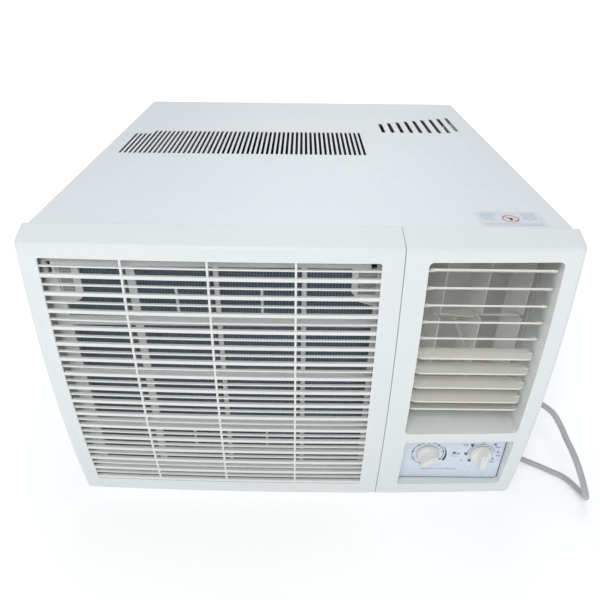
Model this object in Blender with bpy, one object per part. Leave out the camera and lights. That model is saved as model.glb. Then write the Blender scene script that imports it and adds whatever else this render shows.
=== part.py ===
"""Window air conditioner with a cool-air discharge on the right and a hinged intake grille on the left.

Units are millimetres in the constants and helpers, metres in the finished objects.
X runs to the right of someone facing the front panel, Y from the front to the rear, Z up.
Everything hangs under one empty, which puts the middle of the unit's footprint at the world origin.
"""

import math

import bmesh
import bpy
from mathutils import Matrix, Vector

MM = 0.001

# ---------------------------------------------------------------- driving dimensions (mm)
HALF_WIDTH = 330.0        # front panel, centre to side
CREASE_Z = 427.0          # top edge of the panel's face
TOP_Z = 436.0             # top of the cabinet
SEAM_Y = 34.0             # panel meets cabinet
REAR_Y = 669.0            # rear edge of the cabinet
CENTRE_Y = 323.8          # middle of the whole unit, from the panel's corner line
BOW_V = 15.0              # how far the panel's face bulges half way up
BOW_H = 7.0               # how far it bows across its width
CORNER_R = 8.0            # rounding of the panel's upright edges
SPLIT_X = 120.0           # seam between intake door and fixed panel
SPLIT_GAP = 0.6
SHELL = 2.2               # moulded wall

INTAKE_X = (-305.0, 94.0)
INTAKE_Z = (29.0, 409.0)
BAR_PITCH = 23.62
BAR_TOP_Z = 386.7
BARS, BAR_T = 16, 5.0
RIB_X = (-209.0, -108.0, -5.0)

DUCT_X = (148.0, 306.0)   # discharge opening
DUCT_Z = (145.0, 410.5)
TUNNEL_REAR = 45.0
DUCT_FRONT = 49.5
POCKET_X = (151.0, 307.0)  # control recess
POCKET_Z = (27.0, 127.0)
PLATE_FRONT, PLATE_T = 5.0, 1.4

BLADES = 10
BLADE_PITCH = 24.8
BLADE_TOP_Z = 392.6
BLADE_LAST_Z = 174.8
BLADE_Y = 7.0
BLADE_X = (151.0, 303.4)
BLADE_TILT = (-33.0, -33.0, -33.0, -33.0, -33.0, -2.0, -1.0, 0.0, 1.0, -23.0)

VANE_X = (179.5, 234.0, 288.5)
VANE_Y = 58.4
VANE_CHORD = 39.0
VANE_REST = 19.5          # degrees, front edge to the right
LINK_R = 11.5             # link bar's distance from the vane pivots
LINK_Z = 304.0
CRANK_Z = 112.0

KNOB_X = (193.5, 272.8)
KNOB_Z = 80.0

CABINET_HALF = 328.4
CABINET_T = 1.4
FAN_X, FAN_Z = -95.0, 218.0

MAIN_SLOTS, MAIN_PITCH, MAIN_X0 = 51, 7.93, -294.0
MAIN_SLOT_Y = (305.5, 438.0)
SIDE_SLOTS, SIDE_PITCH, SIDE_X0 = 9, 17.05, 149.5

CORD_D = 9.0
GAP = 0.3

# ---------------------------------------------------------------- scene and materials
for old in list(bpy.data.objects):
    bpy.data.objects.remove(old, do_unlink=True)

unit = bpy.data.objects.new("air_conditioner", None)
unit.location = (0.0, -CENTRE_Y * MM, 0.0)
bpy.context.scene.collection.objects.link(unit)

MATERIALS = {}


def blade_z(k):
    """Height of a blade's pivot: the lowest one sits a little closer to its neighbour."""
    return BLADE_TOP_Z - BLADE_PITCH * k if k < BLADES - 1 else BLADE_LAST_Z


def material(name, colour, roughness, metallic=0.0):
    if name not in MATERIALS:
        made = bpy.data.materials.new(name)
        made.use_nodes = True
        shader = made.node_tree.nodes["Principled BSDF"]
        shader.inputs["Base Color"].default_value = (*colour, 1.0)
        shader.inputs["Roughness"].default_value = roughness
        shader.inputs["Metallic"].default_value = metallic
        MATERIALS[name] = made
    return MATERIALS[name]


PANEL = material("panel_plastic", (0.80, 0.83, 0.84), 0.42)
SHEET = material("painted_sheet", (0.82, 0.85, 0.86), 0.45)
IVORY = material("ivory_plastic", (0.82, 0.80, 0.74), 0.38)
GREY_PLASTIC = material("grey_plastic", (0.55, 0.57, 0.57), 0.5)
LIGHT_GREY = material("filter_frame", (0.68, 0.70, 0.69), 0.5)
PLATE = material("control_plate", (0.68, 0.76, 0.88), 0.3)
KNOB = material("knob_plastic", (0.83, 0.82, 0.77), 0.32)
GALVANISED = material("galvanised_steel", (0.55, 0.57, 0.58), 0.4, 0.9)
ALUMINIUM = material("aluminium_fins", (0.62, 0.64, 0.66), 0.35, 0.9)
COPPER = material("copper", (0.72, 0.35, 0.20), 0.3, 1.0)
BLACK_STEEL = material("black_painted_steel", (0.03, 0.03, 0.035), 0.4)
STEEL = material("steel", (0.5, 0.5, 0.5), 0.3, 1.0)
FOAM = material("duct_foam", (0.70, 0.68, 0.62), 0.8)
BLACK_PLASTIC = material("black_plastic", (0.05, 0.05, 0.055), 0.5)
RUBBER = material("rubber", (0.03, 0.03, 0.03), 0.8)
CORD_GREY = material("cord_pvc", (0.52, 0.53, 0.54), 0.45)


# ---------------------------------------------------------------- building blocks
def body_from(name, bm, colour, at=(0.0, 0.0, 0.0), turn=(0.0, 0.0, 0.0), smooth=False, parent=None):
    """A named object whose origin is at `at`; the mesh was drawn in the unit's frame before any turn."""
    bmesh.ops.recalc_face_normals(bm, faces=bm.faces)
    bmesh.ops.translate(bm, verts=bm.verts, vec=-Vector(at))
    bmesh.ops.scale(bm, verts=bm.verts, vec=(MM, MM, MM))
    mesh = bpy.data.meshes.new(name)
    bm.to_mesh(mesh)
    bm.free()
    return placed(name, mesh, colour, at, turn, smooth, parent)


def placed(name, mesh, colour, at, turn=(0.0, 0.0, 0.0), smooth=False, parent=None):
    obj = bpy.data.objects.new(name, mesh)
    obj.parent = parent or unit
    obj.location = Vector(at) * MM
    obj.rotation_euler = [math.radians(a) for a in turn]
    bpy.context.scene.collection.objects.link(obj)
    if colour is not None:
        obj.data.materials.clear()
        obj.data.materials.append(colour)
    if smooth:
        mesh.shade_smooth()
        mesh.set_sharp_from_angle(angle=math.radians(35.0))
    return obj


def combine(obj, operation, bm):
    """Adds an exact Boolean whose other half is a hidden helper in the same place."""
    tag = f"{obj.name}_{operation.lower()}_{len(obj.modifiers)}"
    helper = body_from(tag, bm, None, at=Vector(obj.location) / MM)
    helper.hide_render = True
    helper.display_type = "WIRE"
    boolean = obj.modifiers.new(tag, "BOOLEAN")
    boolean.operation = operation
    boolean.solver = "EXACT"
    boolean.object = helper
    return obj


def cut(obj, bm):
    return combine(obj, "DIFFERENCE", bm)


def fuse(obj, bm):
    return combine(obj, "UNION", bm)


def finished_mesh(obj):
    """The evaluated mesh of a pattern piece, which is then removed with its helpers."""
    bpy.context.view_layer.update()
    mesh = bpy.data.meshes.new_from_object(obj.evaluated_get(bpy.context.evaluated_depsgraph_get()))
    for helper in [m.object for m in obj.modifiers if m.type == "BOOLEAN"]:
        bpy.data.objects.remove(helper, do_unlink=True)
    bpy.data.objects.remove(obj, do_unlink=True)
    return mesh


def box(bm, x, y, z):
    corners = [bm.verts.new((a, b, c)) for c in z for b in y for a in x]
    for quad in ((0, 2, 3, 1), (4, 5, 7, 6), (0, 1, 5, 4), (2, 6, 7, 3), (0, 4, 6, 2), (1, 3, 7, 5)):
        bm.faces.new([corners[i] for i in quad])
    return bm


def boxes(*sizes):
    bm = bmesh.new()
    for x, y, z in sizes:
        box(bm, x, y, z)
    return bm


AXES = {"x": lambda a, b, h: (h, a, b), "y": lambda a, b, h: (a, h, b), "z": lambda a, b, h: (a, b, h)}


def prism(bm, outline, low, high, axis):
    """A flat outline pushed from low to high along an axis. The outline holds the other two coordinates in X, Y, Z order."""
    put = AXES[axis]
    under = [bm.verts.new(put(a, b, low)) for a, b in outline]
    over = [bm.verts.new(put(a, b, high)) for a, b in outline]
    bm.faces.new(under[::-1])
    bm.faces.new(over)
    for i in range(len(outline)):
        j = (i + 1) % len(outline)
        bm.faces.new((under[i], under[j], over[j], over[i]))
    return bm


def circle(cx, cy, r, n, start=0.0, sweep=360.0):
    whole = abs(sweep) >= 360.0
    steps = n if whole else n + 1
    return [
        (cx + r * math.cos(math.radians(start + sweep * i / n)), cy + r * math.sin(math.radians(start + sweep * i / n)))
        for i in range(steps)
    ]


def rounded(x, y, r, n=3):
    """A rectangle with rounded corners."""
    out = []
    for cx, cy, a in ((x[1] - r, y[1] - r, 0), (x[0] + r, y[1] - r, 90), (x[0] + r, y[0] + r, 180), (x[1] - r, y[0] + r, 270)):
        out += circle(cx, cy, r, n, a, 90.0)
    return out


def cylinder(bm, centre, r, low, high, axis, n=12):
    return prism(bm, circle(*centre, r, n), low, high, axis)


def turned(bm, profile, centre, axis, n=16):
    """A profile of (radius, height) pairs spun round an axis. A radius of 0 closes on the axis."""
    put = AXES[axis]
    rings = []
    for r, h in profile:
        if r <= 0.0:
            rings.append([bm.verts.new(put(*centre, h))])
        else:
            rings.append([bm.verts.new(put(a, b, h)) for a, b in circle(*centre, r, n)])
    closed = profile[0][0] > 0.0
    pairs = list(zip(rings, rings[1:] + rings[:1])) if closed else list(zip(rings, rings[1:]))
    for low, high in pairs:
        for i in range(n):
            j = (i + 1) % n
            ring = [low[i % len(low)], low[j % len(low)], high[j % len(high)], high[i % len(high)]]
            bm.faces.new(list(dict.fromkeys(ring)))
    return bm


def face_y(x, z):
    """Depth of the panel's outer face: bowed in height and width, rounded at its upright edges."""
    middle = CREASE_Z / 2.0
    y = -BOW_V * max(0.0, 1.0 - ((z - middle) / middle) ** 2) - BOW_H * (1.0 - (x / HALF_WIDTH) ** 2)
    over = (abs(x) - (HALF_WIDTH - CORNER_R)) / CORNER_R
    if over > 0.0:
        y += CORNER_R * (1.0 - math.sqrt(max(0.0, 1.0 - min(over, 1.0) ** 2)))
    return y


def spread(low, high, n):
    return [low + (high - low) * i / n for i in range(n + 1)]


def face_block(bm, xs, zs, front, back=None, depth=None, back_top=None, lip=0.0):
    """A block whose front follows the panel's face at the offset `front`; its back is flat at `back`, or `depth` behind its front."""
    fronts, backs = [], []
    for x in xs:
        row, behind = [], []
        for j, z in enumerate(zs):
            y = face_y(x, z) + front
            if lip and j < 3:
                y += lip * (1.0, 0.3, 0.0)[j]
            row.append(bm.verts.new((x, y, z)))
            top = back_top is not None and j == len(zs) - 1
            behind.append(bm.verts.new((x, back if back is not None else y + depth, back_top if top else z)))
        fronts.append(row)
        backs.append(behind)
    n, m = len(xs), len(zs)
    for i in range(n - 1):
        for j in range(m - 1):
            bm.faces.new((fronts[i][j], fronts[i + 1][j], fronts[i + 1][j + 1], fronts[i][j + 1]))
            bm.faces.new((backs[i][j + 1], backs[i + 1][j + 1], backs[i + 1][j], backs[i][j]))
        for j in (0, m - 1):
            bm.faces.new((fronts[i][j], fronts[i + 1][j], backs[i + 1][j], backs[i][j]))
    for i in (0, n - 1):
        for j in range(m - 1):
            bm.faces.new((fronts[i][j], fronts[i][j + 1], backs[i][j + 1], backs[i][j]))
    return bm


def smooth_path(points, per_span=6):
    """Points along one smooth curve through the given points."""
    p = [Vector(q) for q in points]
    p = [2 * p[0] - p[1]] + p + [2 * p[-1] - p[-2]]
    out = []
    for i in range(1, len(p) - 2):
        for s in range(per_span):
            t = s / per_span
            out.append(
                0.5
                * (
                    2 * p[i]
                    + (p[i + 1] - p[i - 1]) * t
                    + (2 * p[i - 1] - 5 * p[i] + 4 * p[i + 1] - p[i + 2]) * t**2
                    + (3 * p[i] - p[i - 1] - 3 * p[i + 1] + p[i + 2]) * t**3
                )
            )
    return out + [p[-2]]


def tube(name, points, diameter, colour, sides=1, per_span=5):
    """A solid round tube along a smooth curve, as a bevelled curve with filled caps."""
    curve = bpy.data.curves.new(name, "CURVE")
    curve.dimensions = "3D"
    curve.bevel_depth = diameter / 2.0 * MM
    curve.bevel_resolution = sides
    curve.use_fill_caps = True
    route = smooth_path(points, per_span)
    spline = curve.splines.new("POLY")
    spline.points.add(len(route) - 1)
    for point, place in zip(spline.points, route):
        point.co = (*(place * MM), 1.0)
    curve.materials.append(colour)
    obj = bpy.data.objects.new(name, curve)
    obj.parent = unit
    bpy.context.scene.collection.objects.link(obj)
    return obj


# ---------------------------------------------------------------- cabinet and base
def cabinet_outline():
    r, t, w, h, foot = 9.0, CABINET_T, CABINET_HALF, TOP_Z, 9.0
    outer = [(-w, foot)] + circle(-w + r, h - r, r, 3, 180, -90) + circle(w - r, h - r, r, 3, 90, -90) + [(w, foot)]
    inner = [(w - t, foot)] + circle(w - r, h - r, r - t, 3, 0, 90) + circle(-w + r, h - r, r - t, 3, 90, 90) + [(-w + t, foot)]
    return outer + inner


def slot(bm, x, y0, y1, width):
    r = width / 2.0
    n = 1 if width < 5.0 else 3
    prism(bm, circle(x, y0 + r * (n > 1), r, n, 180, 180) + circle(x, y1 - r * (n > 1), r, n, 0, 180), TOP_Z - 12.0, TOP_Z + 6.0, "z")


cabinet = body_from("outer_cabinet", prism(bmesh.new(), cabinet_outline(), SEAM_Y + GAP, REAR_Y, "y"), SHEET)
vents = bmesh.new()
for k in range(MAIN_SLOTS):
    slot(vents, MAIN_X0 + k * MAIN_PITCH, MAIN_SLOT_Y[0], MAIN_SLOT_Y[1] - (17.5 if k < 4 else 0.0), 4.3)
for k in range(SIDE_SLOTS):
    slot(vents, SIDE_X0 + k * SIDE_PITCH, 440.0 + (12.0 if k == SIDE_SLOTS - 1 else 0.0), 503.0 + 49.0 * k / (SIDE_SLOTS - 1), 7.0)
cut(cabinet, vents)
louvres = bmesh.new()
for y0 in (340.0, 450.0):
    for k in range(8):
        box(louvres, (-CABINET_HALF - 6, CABINET_HALF + 6), (y0, y0 + 90.0), (100.0 + 34.0 * k, 109.0 + 34.0 * k))
cut(cabinet, louvres)
cut(cabinet, cylinder(bmesh.new(), (84.0, 112.0), 9.0, CABINET_HALF - 10, CABINET_HALF + 10, "x", 12))

PAN_W = CABINET_HALF - CABINET_T - GAP
pan = body_from("base_pan", boxes(((-PAN_W, PAN_W), (36.5, REAR_Y - 1.0), (4.0, 42.0))), GALVANISED)
cut(pan, boxes(((-PAN_W + 1.4, PAN_W - 1.4), (38.0, REAR_Y - 2.4), (5.6, 60.0))))
fuse(pan, boxes(((-262.0, -226.0), (60.0, 650.0), (0.0, 4.8)), ((226.0, 262.0), (60.0, 650.0), (0.0, 4.8))))

# ---------------------------------------------------------------- fixed front panel with discharge tunnel and control recess
ZS = [0.5, 2.0, 5.5] + spread(5.5, CREASE_Z, 8)[1:]
ZS_IN = spread(0.5 + SHELL, CREASE_Z - 1.2, 8)


def corner_stations(side):
    edge = HALF_WIDTH - CORNER_R
    xs = [side * (edge + CORNER_R * f) for f in (0.0, 0.5, 0.85, 1.0)]
    return xs if side > 0 else xs[::-1]


right_xs = [SPLIT_X + SPLIT_GAP / 2] + spread(146.0, 308.0, 3) + corner_stations(1)
panel = body_from("front_panel", face_block(bmesh.new(), right_xs, ZS, 0.0, back=SEAM_Y, back_top=TOP_Z, lip=5.0), PANEL)
inner_xs = [SPLIT_X + SPLIT_GAP / 2 + SHELL] + spread(146.0, 308.0, 3) + [HALF_WIDTH - SHELL]
cut(panel, face_block(bmesh.new(), inner_xs, ZS_IN, SHELL, back=SEAM_Y + 8.0, back_top=TOP_Z - SHELL + 1.6))
frame = bmesh.new()
face_block(frame, spread(DUCT_X[0] - 2, DUCT_X[1] + 2, 2), spread(DUCT_Z[0] - 2, DUCT_Z[1] + 2, 4), 1.0, back=TUNNEL_REAR)
face_block(frame, spread(POCKET_X[0] - 2, POCKET_X[1] + 2, 2), spread(POCKET_Z[0] - 2, POCKET_Z[1] + 2, 2), 1.0, back=PLATE_FRONT + PLATE_T + GAP + 2.0)
# ring behind the intake door, fused to the fixed panel's left wall
RING_Y = (24.7, 33.7)
for x, z in (
    ((-327.0, 121.5), (INTAKE_Z[1] + 2, 429.0)),
    ((-327.0, 121.5), (4.0, INTAKE_Z[0] - 2)),
):
    box(frame, x, RING_Y, z)
fuse(panel, frame)
fuse(panel, boxes(((-327.0, -309.0), RING_Y, (10.0, 420.0)), ((98.0, 121.5), RING_Y, (10.0, 420.0))))
openings = bmesh.new()
prism(openings, rounded(DUCT_X, DUCT_Z, 6.0), -60.0, 80.0, "y")
prism(openings, rounded(POCKET_X, POCKET_Z, 5.0), -60.0, PLATE_FRONT + PLATE_T + GAP, "y")
cut(panel, openings)
shaft_holes = bmesh.new()
for x in KNOB_X:
    cylinder(shaft_holes, (x, KNOB_Z), 5.0, 5.0, 20.0, "y", 8)
cut(panel, shaft_holes)
bores = bmesh.new()
for k in range(BLADES):
    cylinder(bores, (BLADE_Y, blade_z(k)), 1.8, DUCT_X[1] - 1.0, DUCT_X[1] + 5.0, "x", 6)
cut(panel, bores)

# ---------------------------------------------------------------- intake door with its bars, and the filter behind it
left_xs = corner_stations(-1) + [INTAKE_X[0], -209.0, -108.0, -5.0, INTAKE_X[1], SPLIT_X - SPLIT_GAP / 2]
DOOR_HINGE = (-330.0, 33.2)
grille = body_from("intake_grille", face_block(bmesh.new(), left_xs, ZS, 0.0, back=SEAM_Y, back_top=TOP_Z, lip=5.0), PANEL, at=(*DOOR_HINGE, 0.0))
inner_xs = [-HALF_WIDTH + SHELL, INTAKE_X[0], -209.0, -108.0, -5.0, INTAKE_X[1], SPLIT_X - SPLIT_GAP / 2 - SHELL]
cut(grille, face_block(bmesh.new(), inner_xs, ZS_IN, SHELL, back=SEAM_Y + 8.0, back_top=TOP_Z - SHELL + 1.6))
cut(grille, boxes((INTAKE_X, (-60.0, 60.0), INTAKE_Z)))
cut(grille, boxes(((110.0, 125.0), (RING_Y[0] - 0.7, 60.0), (-5.0, 429.6))))
bars = bmesh.new()
bar_xs = [INTAKE_X[0] - 1.5, -104.0, INTAKE_X[1] + 1.5]
for k in range(BARS):
    z = BAR_TOP_Z - BAR_PITCH * k
    face_block(bars, bar_xs, (z - BAR_T / 2, z + BAR_T / 2), 0.4, depth=3.2)
fuse(grille, bars)
ribs = bmesh.new()
for x in RIB_X:
    face_block(ribs, (x - 1.4, x + 1.4), spread(INTAKE_Z[0] - 1.5, INTAKE_Z[1] + 1.5, 6), 1.2, depth=3.4)
fuse(grille, ribs)

FILTER_Y = (6.0, 11.0)
FILTER_X = (-306.0, 97.0)
FILTER_Z = (25.0, 413.0)
air_filter = body_from("air_filter", boxes((FILTER_X, FILTER_Y, FILTER_Z)), LIGHT_GREY)
columns = (-288.0, -208.0, -198.0, -104.0, -98.0, 2.0, 8.0, 90.5)
rows = (60.0, 75.0, 86.0, 129.0, 146.0, 225.0, 237.0, 309.0, 323.0, 394.0)
panes_front, panes_back = bmesh.new(), bmesh.new()
for x0, x1 in zip(columns[::2], columns[1::2]):
    for z0, z1 in zip(rows[::2], rows[1::2]):
        for bm, y in ((panes_front, (0.0, 8.2)), (panes_back, (8.8, 20.0))):
            if z1 > 390.0 and x0 < -270.0:
                prism(bm, [(x0, z0), (x1, z0), (x1, z1), (-264.0, z1), (-264.0, 357.0), (-273.0, 346.0), (x0, 343.5)], *y, "y")
            elif z1 > 390.0 and x1 > 80.0:
                prism(bm, [(x0, z0), (x1, z0), (x1, 341.5), (73.0, 347.0), (62.0, 362.0), (62.0, z1), (x0, z1)], *y, "y")
            else:
                box(bm, (x0, x1), y, (z0, z1))
cut(air_filter, panes_front)
cut(air_filter, panes_back)

# ---------------------------------------------------------------- discharge blades
pattern = bmesh.new()
x0, x1 = BLADE_X
front = circle(x0 + 9.5, -3.0, 9.5, 2, 180, 90) + circle(x1 - 9.5, -3.0, 9.5, 2, 270, 90)
prism(pattern, front + [(x1, 11.5), (x0, 11.5)], -1.15, 1.15, "z")
pattern = body_from("blade_pattern", pattern, IVORY)
fuse(pattern, cylinder(cylinder(bmesh.new(), (0.0, 0.0), 1.35, x0 - 2.4, x0 + 5.0, "x", 6), (0.0, 0.0), 1.35, x1 - 5.0, x1 + 4.2, "x", 6))
blade_mesh = finished_mesh(pattern)
for k in range(BLADES):
    placed(f"louvre_blade_{k + 1:02d}", blade_mesh, IVORY, (0.0, BLADE_Y, blade_z(k)), (BLADE_TILT[k], 0.0, 0.0))

comb = body_from("louvre_pivot_comb", boxes(((148.3, 150.4), (BLADE_Y - 5.0, BLADE_Y + 5.0), (DUCT_Z[0] + 8, DUCT_Z[1] - 8))), IVORY)
bores = bmesh.new()
for k in range(BLADES):
    cylinder(bores, (BLADE_Y, blade_z(k)), 1.8, 146.0, 153.0, "x", 6)
cut(comb, bores)

# ---------------------------------------------------------------- upright vanes, link bar, drive rod, crank and motor
half = VANE_CHORD / 2.0
pattern = body_from("vane_pattern", boxes(((-0.9, 0.9), (-half, half), (DUCT_Z[0] + 2.0, DUCT_Z[1] - 2.0))), IVORY)
fuse(pattern, cylinder(cylinder(bmesh.new(), (0.0, 0.0), 1.4, DUCT_Z[0] - 1.6, DUCT_Z[0] + 8, "z", 6), (0.0, 0.0), 1.4, DUCT_Z[1] - 8, DUCT_Z[1] + 1.6, "z", 6))
cut(pattern, boxes(((-5.0, 5.0), (-half - 5.0, -8.6), (LINK_Z - 2.4, LINK_Z + 2.4))))
vane_mesh = finished_mesh(pattern)
for k, x in enumerate(VANE_X):
    placed(f"vane_{k + 1}", vane_mesh, IVORY, (x, VANE_Y, 0.0), (0.0, 0.0, VANE_REST))

shift = LINK_R * math.sin(math.radians(VANE_REST))
pin_y = VANE_Y - LINK_R
p1, p2, p3 = (x + shift for x in VANE_X)
link = body_from("vane_link_bar", boxes(((p1 - 4.0, p3 + 4.0), (pin_y - 1.2, pin_y + 1.2), (LINK_Z - 1.2, LINK_Z + 1.2))), IVORY, at=(p1, pin_y, LINK_Z))
plate_outline = [(p1 + 5, pin_y - 0.8), (p2 - 9, pin_y - 7), (p2 - 6.4, pin_y - 5.5), (p2 - 3, pin_y), (p2 - 11, pin_y + 10), (p1 + 13, pin_y + 7), (p1 + 5, pin_y + 0.8)]
fuse(link, prism(bmesh.new(), plate_outline, LINK_Z - 0.9, LINK_Z + 0.9, "z"))
rod_x = p2 - 6.8
crank_x = rod_x - shift
pin_z = CRANK_Z + LINK_R * math.cos(math.radians(VANE_REST))
rod_line = [(203.0, LINK_Z - 1.5), (208.0, LINK_Z - 1.5), (rod_x + 1.5, 247.0), (rod_x + 1.5, pin_z + 4), (rod_x + 4, pin_z + 4), (rod_x + 4, pin_z - 8), (rod_x - 4, pin_z - 8), (rod_x - 4, pin_z + 4), (rod_x - 1.5, pin_z + 4), (rod_x - 1.5, 248.0)]
rod = body_from("vane_drive_rod", prism(bmesh.new(), rod_line, pin_y - 1.0, pin_y + 1.0, "y"), GREY_PLASTIC, at=(rod_x, pin_y, pin_z))
cut(rod, boxes(((rod_x - 2.2, rod_x + 2.2), (pin_y - 5, pin_y + 5), (pin_z - 6.2, pin_z + 2.6))))
crank = body_from("swing_crank", cylinder(bmesh.new(), (crank_x, CRANK_Z), 15.0, pin_y + 1.4, pin_y + 3.9, "y", 16), GREY_PLASTIC, at=(crank_x, pin_y + 2.6, CRANK_Z))
fuse(crank, cylinder(bmesh.new(), (rod_x, pin_z), 1.4, pin_y - 2.0, pin_y + 3.0, "y", 8))
body_from("swing_motor", cylinder(bmesh.new(), (crank_x, CRANK_Z), 24.0, pin_y + 4.4, pin_y + 24.0, "y", 16), GALVANISED, smooth=True)

# ---------------------------------------------------------------- controls
plate = body_from("control_plate", prism(bmesh.new(), rounded((POCKET_X[0] + 0.4, POCKET_X[1] - 0.4), (POCKET_Z[0] + 0.4, POCKET_Z[1] - 0.4), 4.6), PLATE_FRONT, PLATE_FRONT + PLATE_T, "y"), PLATE)
holes = bmesh.new()
for x in KNOB_X:
    cylinder(holes, (x, KNOB_Z), 3.8, 0.0, 20.0, "y", 10)
cut(plate, holes)
for name, x, lean in (("thermostat_knob", KNOB_X[0], -50.0), ("mode_knob", KNOB_X[1], 0.0)):
    knob = body_from(name, turned(bmesh.new(), [(0.0, 9.2), (3.0, 9.2), (3.0, 4.2), (17.0, 4.2), (17.0, 2.5), (15.6, -1.0), (13.5, -2.5), (0.0, -3.0)], (x, KNOB_Z), "y", 20), KNOB, at=(x, PLATE_FRONT, KNOB_Z), smooth=True)
    grip = bmesh.new()
    prism(grip, [(-5.5, -15.5), (5.5, -15.5), (5.5, 15.5), (-5.5, 15.5)], -12.5, 1.0, "y")
    for vert in grip.verts:
        if vert.co.y < -3.0:
            vert.co.x *= 0.72
            vert.co.z *= 0.88
    bmesh.ops.rotate(grip, verts=grip.verts, cent=(0, 0, 0), matrix=Matrix.Rotation(math.radians(-lean), 3, "Y"))
    bmesh.ops.translate(grip, verts=grip.verts, vec=(x, 0.0, KNOB_Z))
    fuse(knob, grip)
body_from("thermostat_body", boxes(((170.0, 212.0), (12.6, 42.0), (62.0, 102.0))), BLACK_PLASTIC)
body_from("mode_switch", boxes(((256.0, 286.0), (12.6, 40.0), (66.0, 98.0))), BLACK_PLASTIC)
body_from("run_capacitor", turned(bmesh.new(), [(0.0, 8.0), (21.0, 8.0), (21.0, 104.0), (18.0, 106.0), (5.0, 106.0), (5.0, 114.0), (0.0, 114.0)], (180.0, 118.0), "z", 14), GALVANISED, smooth=True)

# ---------------------------------------------------------------- air path: duct, scroll and blower
duct_outer = [(145.0, DUCT_FRONT), (308.5, DUCT_FRONT), (308.5, 150.0)] + [(308.5 - 100 * (1 - math.cos(math.radians(a))), 150 + 82 * math.sin(math.radians(a))) for a in (22.5, 45.0, 67.5)] + [(208.5, 232.0), (145.0, 240.0)]
duct_inner = [(100.0, 91.0), (147.5, 91.0), (147.5, DUCT_FRONT - 5), (306.0, DUCT_FRONT - 5), (306.0, 150.0)] + [(306.0 - 98 * (1 - math.cos(math.radians(a))), 150 + 79.5 * math.sin(math.radians(a))) for a in (22.5, 45.0, 67.5)] + [(208.0, 229.5), (100.0, 237.5)]
duct = body_from("air_duct", prism(bmesh.new(), duct_outer, DUCT_Z[0] - 2.5, DUCT_Z[1] + 2.5, "z"), FOAM)
cut(duct, prism(bmesh.new(), duct_inner, *DUCT_Z, "z"))
bores = bmesh.new()
for x in VANE_X:
    cylinder(bores, (x, VANE_Y), 1.8, DUCT_Z[0] - 6, DUCT_Z[1] + 6, "z", 8)
cut(duct, bores)

SCROLL_Y = (96.0, 238.0)


def scroll(wall):
    out = []
    for a in range(90, 331, 20):
        r = 189.0 - (a - 90) * 64.0 / 240.0 - wall
        out.append((FAN_X + r * math.cos(math.radians(a)), FAN_Z + r * math.sin(math.radians(a))))
    return out


edge = 144.6
scroll_body = body_from("blower_scroll", prism(bmesh.new(), scroll(0.0) + [(edge, 145.0), (edge, 407.0)], *SCROLL_Y, "y"), FOAM)
cut(scroll_body, prism(bmesh.new(), scroll(3.0) + [(edge + 9, 148.0), (edge + 9, 404.0)], SCROLL_Y[0] + 3, SCROLL_Y[1] - 3, "y"))
mouths = bmesh.new()
cylinder(mouths, (FAN_X, FAN_Z), 82.0, SCROLL_Y[0] - 5, SCROLL_Y[0] + 8, "y", 24)
cylinder(mouths, (FAN_X, FAN_Z), 16.0, SCROLL_Y[1] - 8, SCROLL_Y[1] + 8, "y", 12)
cut(scroll_body, mouths)

wheel = body_from("blower_wheel", turned(bmesh.new(), [(100.0, 106.0), (100.0, 112.0), (84.0, 112.0), (84.0, 106.0)], (FAN_X, FAN_Z), "y", 18), BLACK_PLASTIC, at=(FAN_X, 160.0, FAN_Z), smooth=True)
fuse(wheel, turned(bmesh.new(), [(6.4, 212.0), (12.0, 212.0), (12.0, 222.0), (100.0, 225.0), (100.0, 228.0), (6.4, 228.0)], (FAN_X, FAN_Z), "y", 18))
fins = bmesh.new()
for k in range(14):
    start = len(fins.verts)
    box(fins, (-1.0, 1.0), (110.0, 226.5), (86.0, 98.5))
    fins.verts.ensure_lookup_table()
    new = fins.verts[start:]
    bmesh.ops.rotate(fins, verts=new, cent=(0, 0, 92), matrix=Matrix.Rotation(math.radians(28), 3, "Y"))
    bmesh.ops.rotate(fins, verts=new, cent=(0, 0, 0), matrix=Matrix.Rotation(math.radians(360.0 / 14 * k + 4), 3, "Y"))
bmesh.ops.translate(fins, verts=fins.verts, vec=(FAN_X, 0, FAN_Z))
fuse(wheel, fins)
body_from("fan_shaft", cylinder(bmesh.new(), (FAN_X, FAN_Z), 6.0, 190.0, 560.0, "y", 12), STEEL, at=(FAN_X, 375.0, FAN_Z), smooth=True)

# ---------------------------------------------------------------- heat exchangers
evaporator = body_from("evaporator_coil", boxes(((-300.0, 96.0), (39.0, 76.0), (14.0, 414.0))), ALUMINIUM)


def return_bends(bm, x, ys, zs, r, direction):
    """Hairpin tubes that stand off an end plate, each a half ring lying in a vertical plane."""
    for y in ys:
        for z0, z1 in zs:
            path = [(x - direction * 1.0, z0)] + [(x + direction * (6 + (z1 - z0) / 2 * math.sin(math.radians(a))), (z0 + z1) / 2 - (z1 - z0) / 2 * math.cos(math.radians(a))) for a in (0, 60, 120, 180)] + [(x - direction * 1.0, z1)]
            rings = []
            for i, (px, pz) in enumerate(path):
                a, b = path[max(i - 1, 0)], path[min(i + 1, len(path) - 1)]
                tangent = Vector((b[0] - a[0], 0, b[1] - a[1])).normalized()
                side = Vector((-tangent.z, 0, tangent.x))
                rings.append([bm.verts.new(Vector((px, y, pz)) + side * (r * math.cos(math.radians(t))) + Vector((0, r * math.sin(math.radians(t)), 0))) for t in range(0, 360, 60)])
            for low, high in zip(rings, rings[1:]):
                for i in range(6):
                    j = (i + 1) % 6
                    bm.faces.new((low[i], low[j], high[j], high[i]))
            bm.faces.new(rings[0][::-1])
            bm.faces.new(rings[-1])
    return bm


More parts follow.
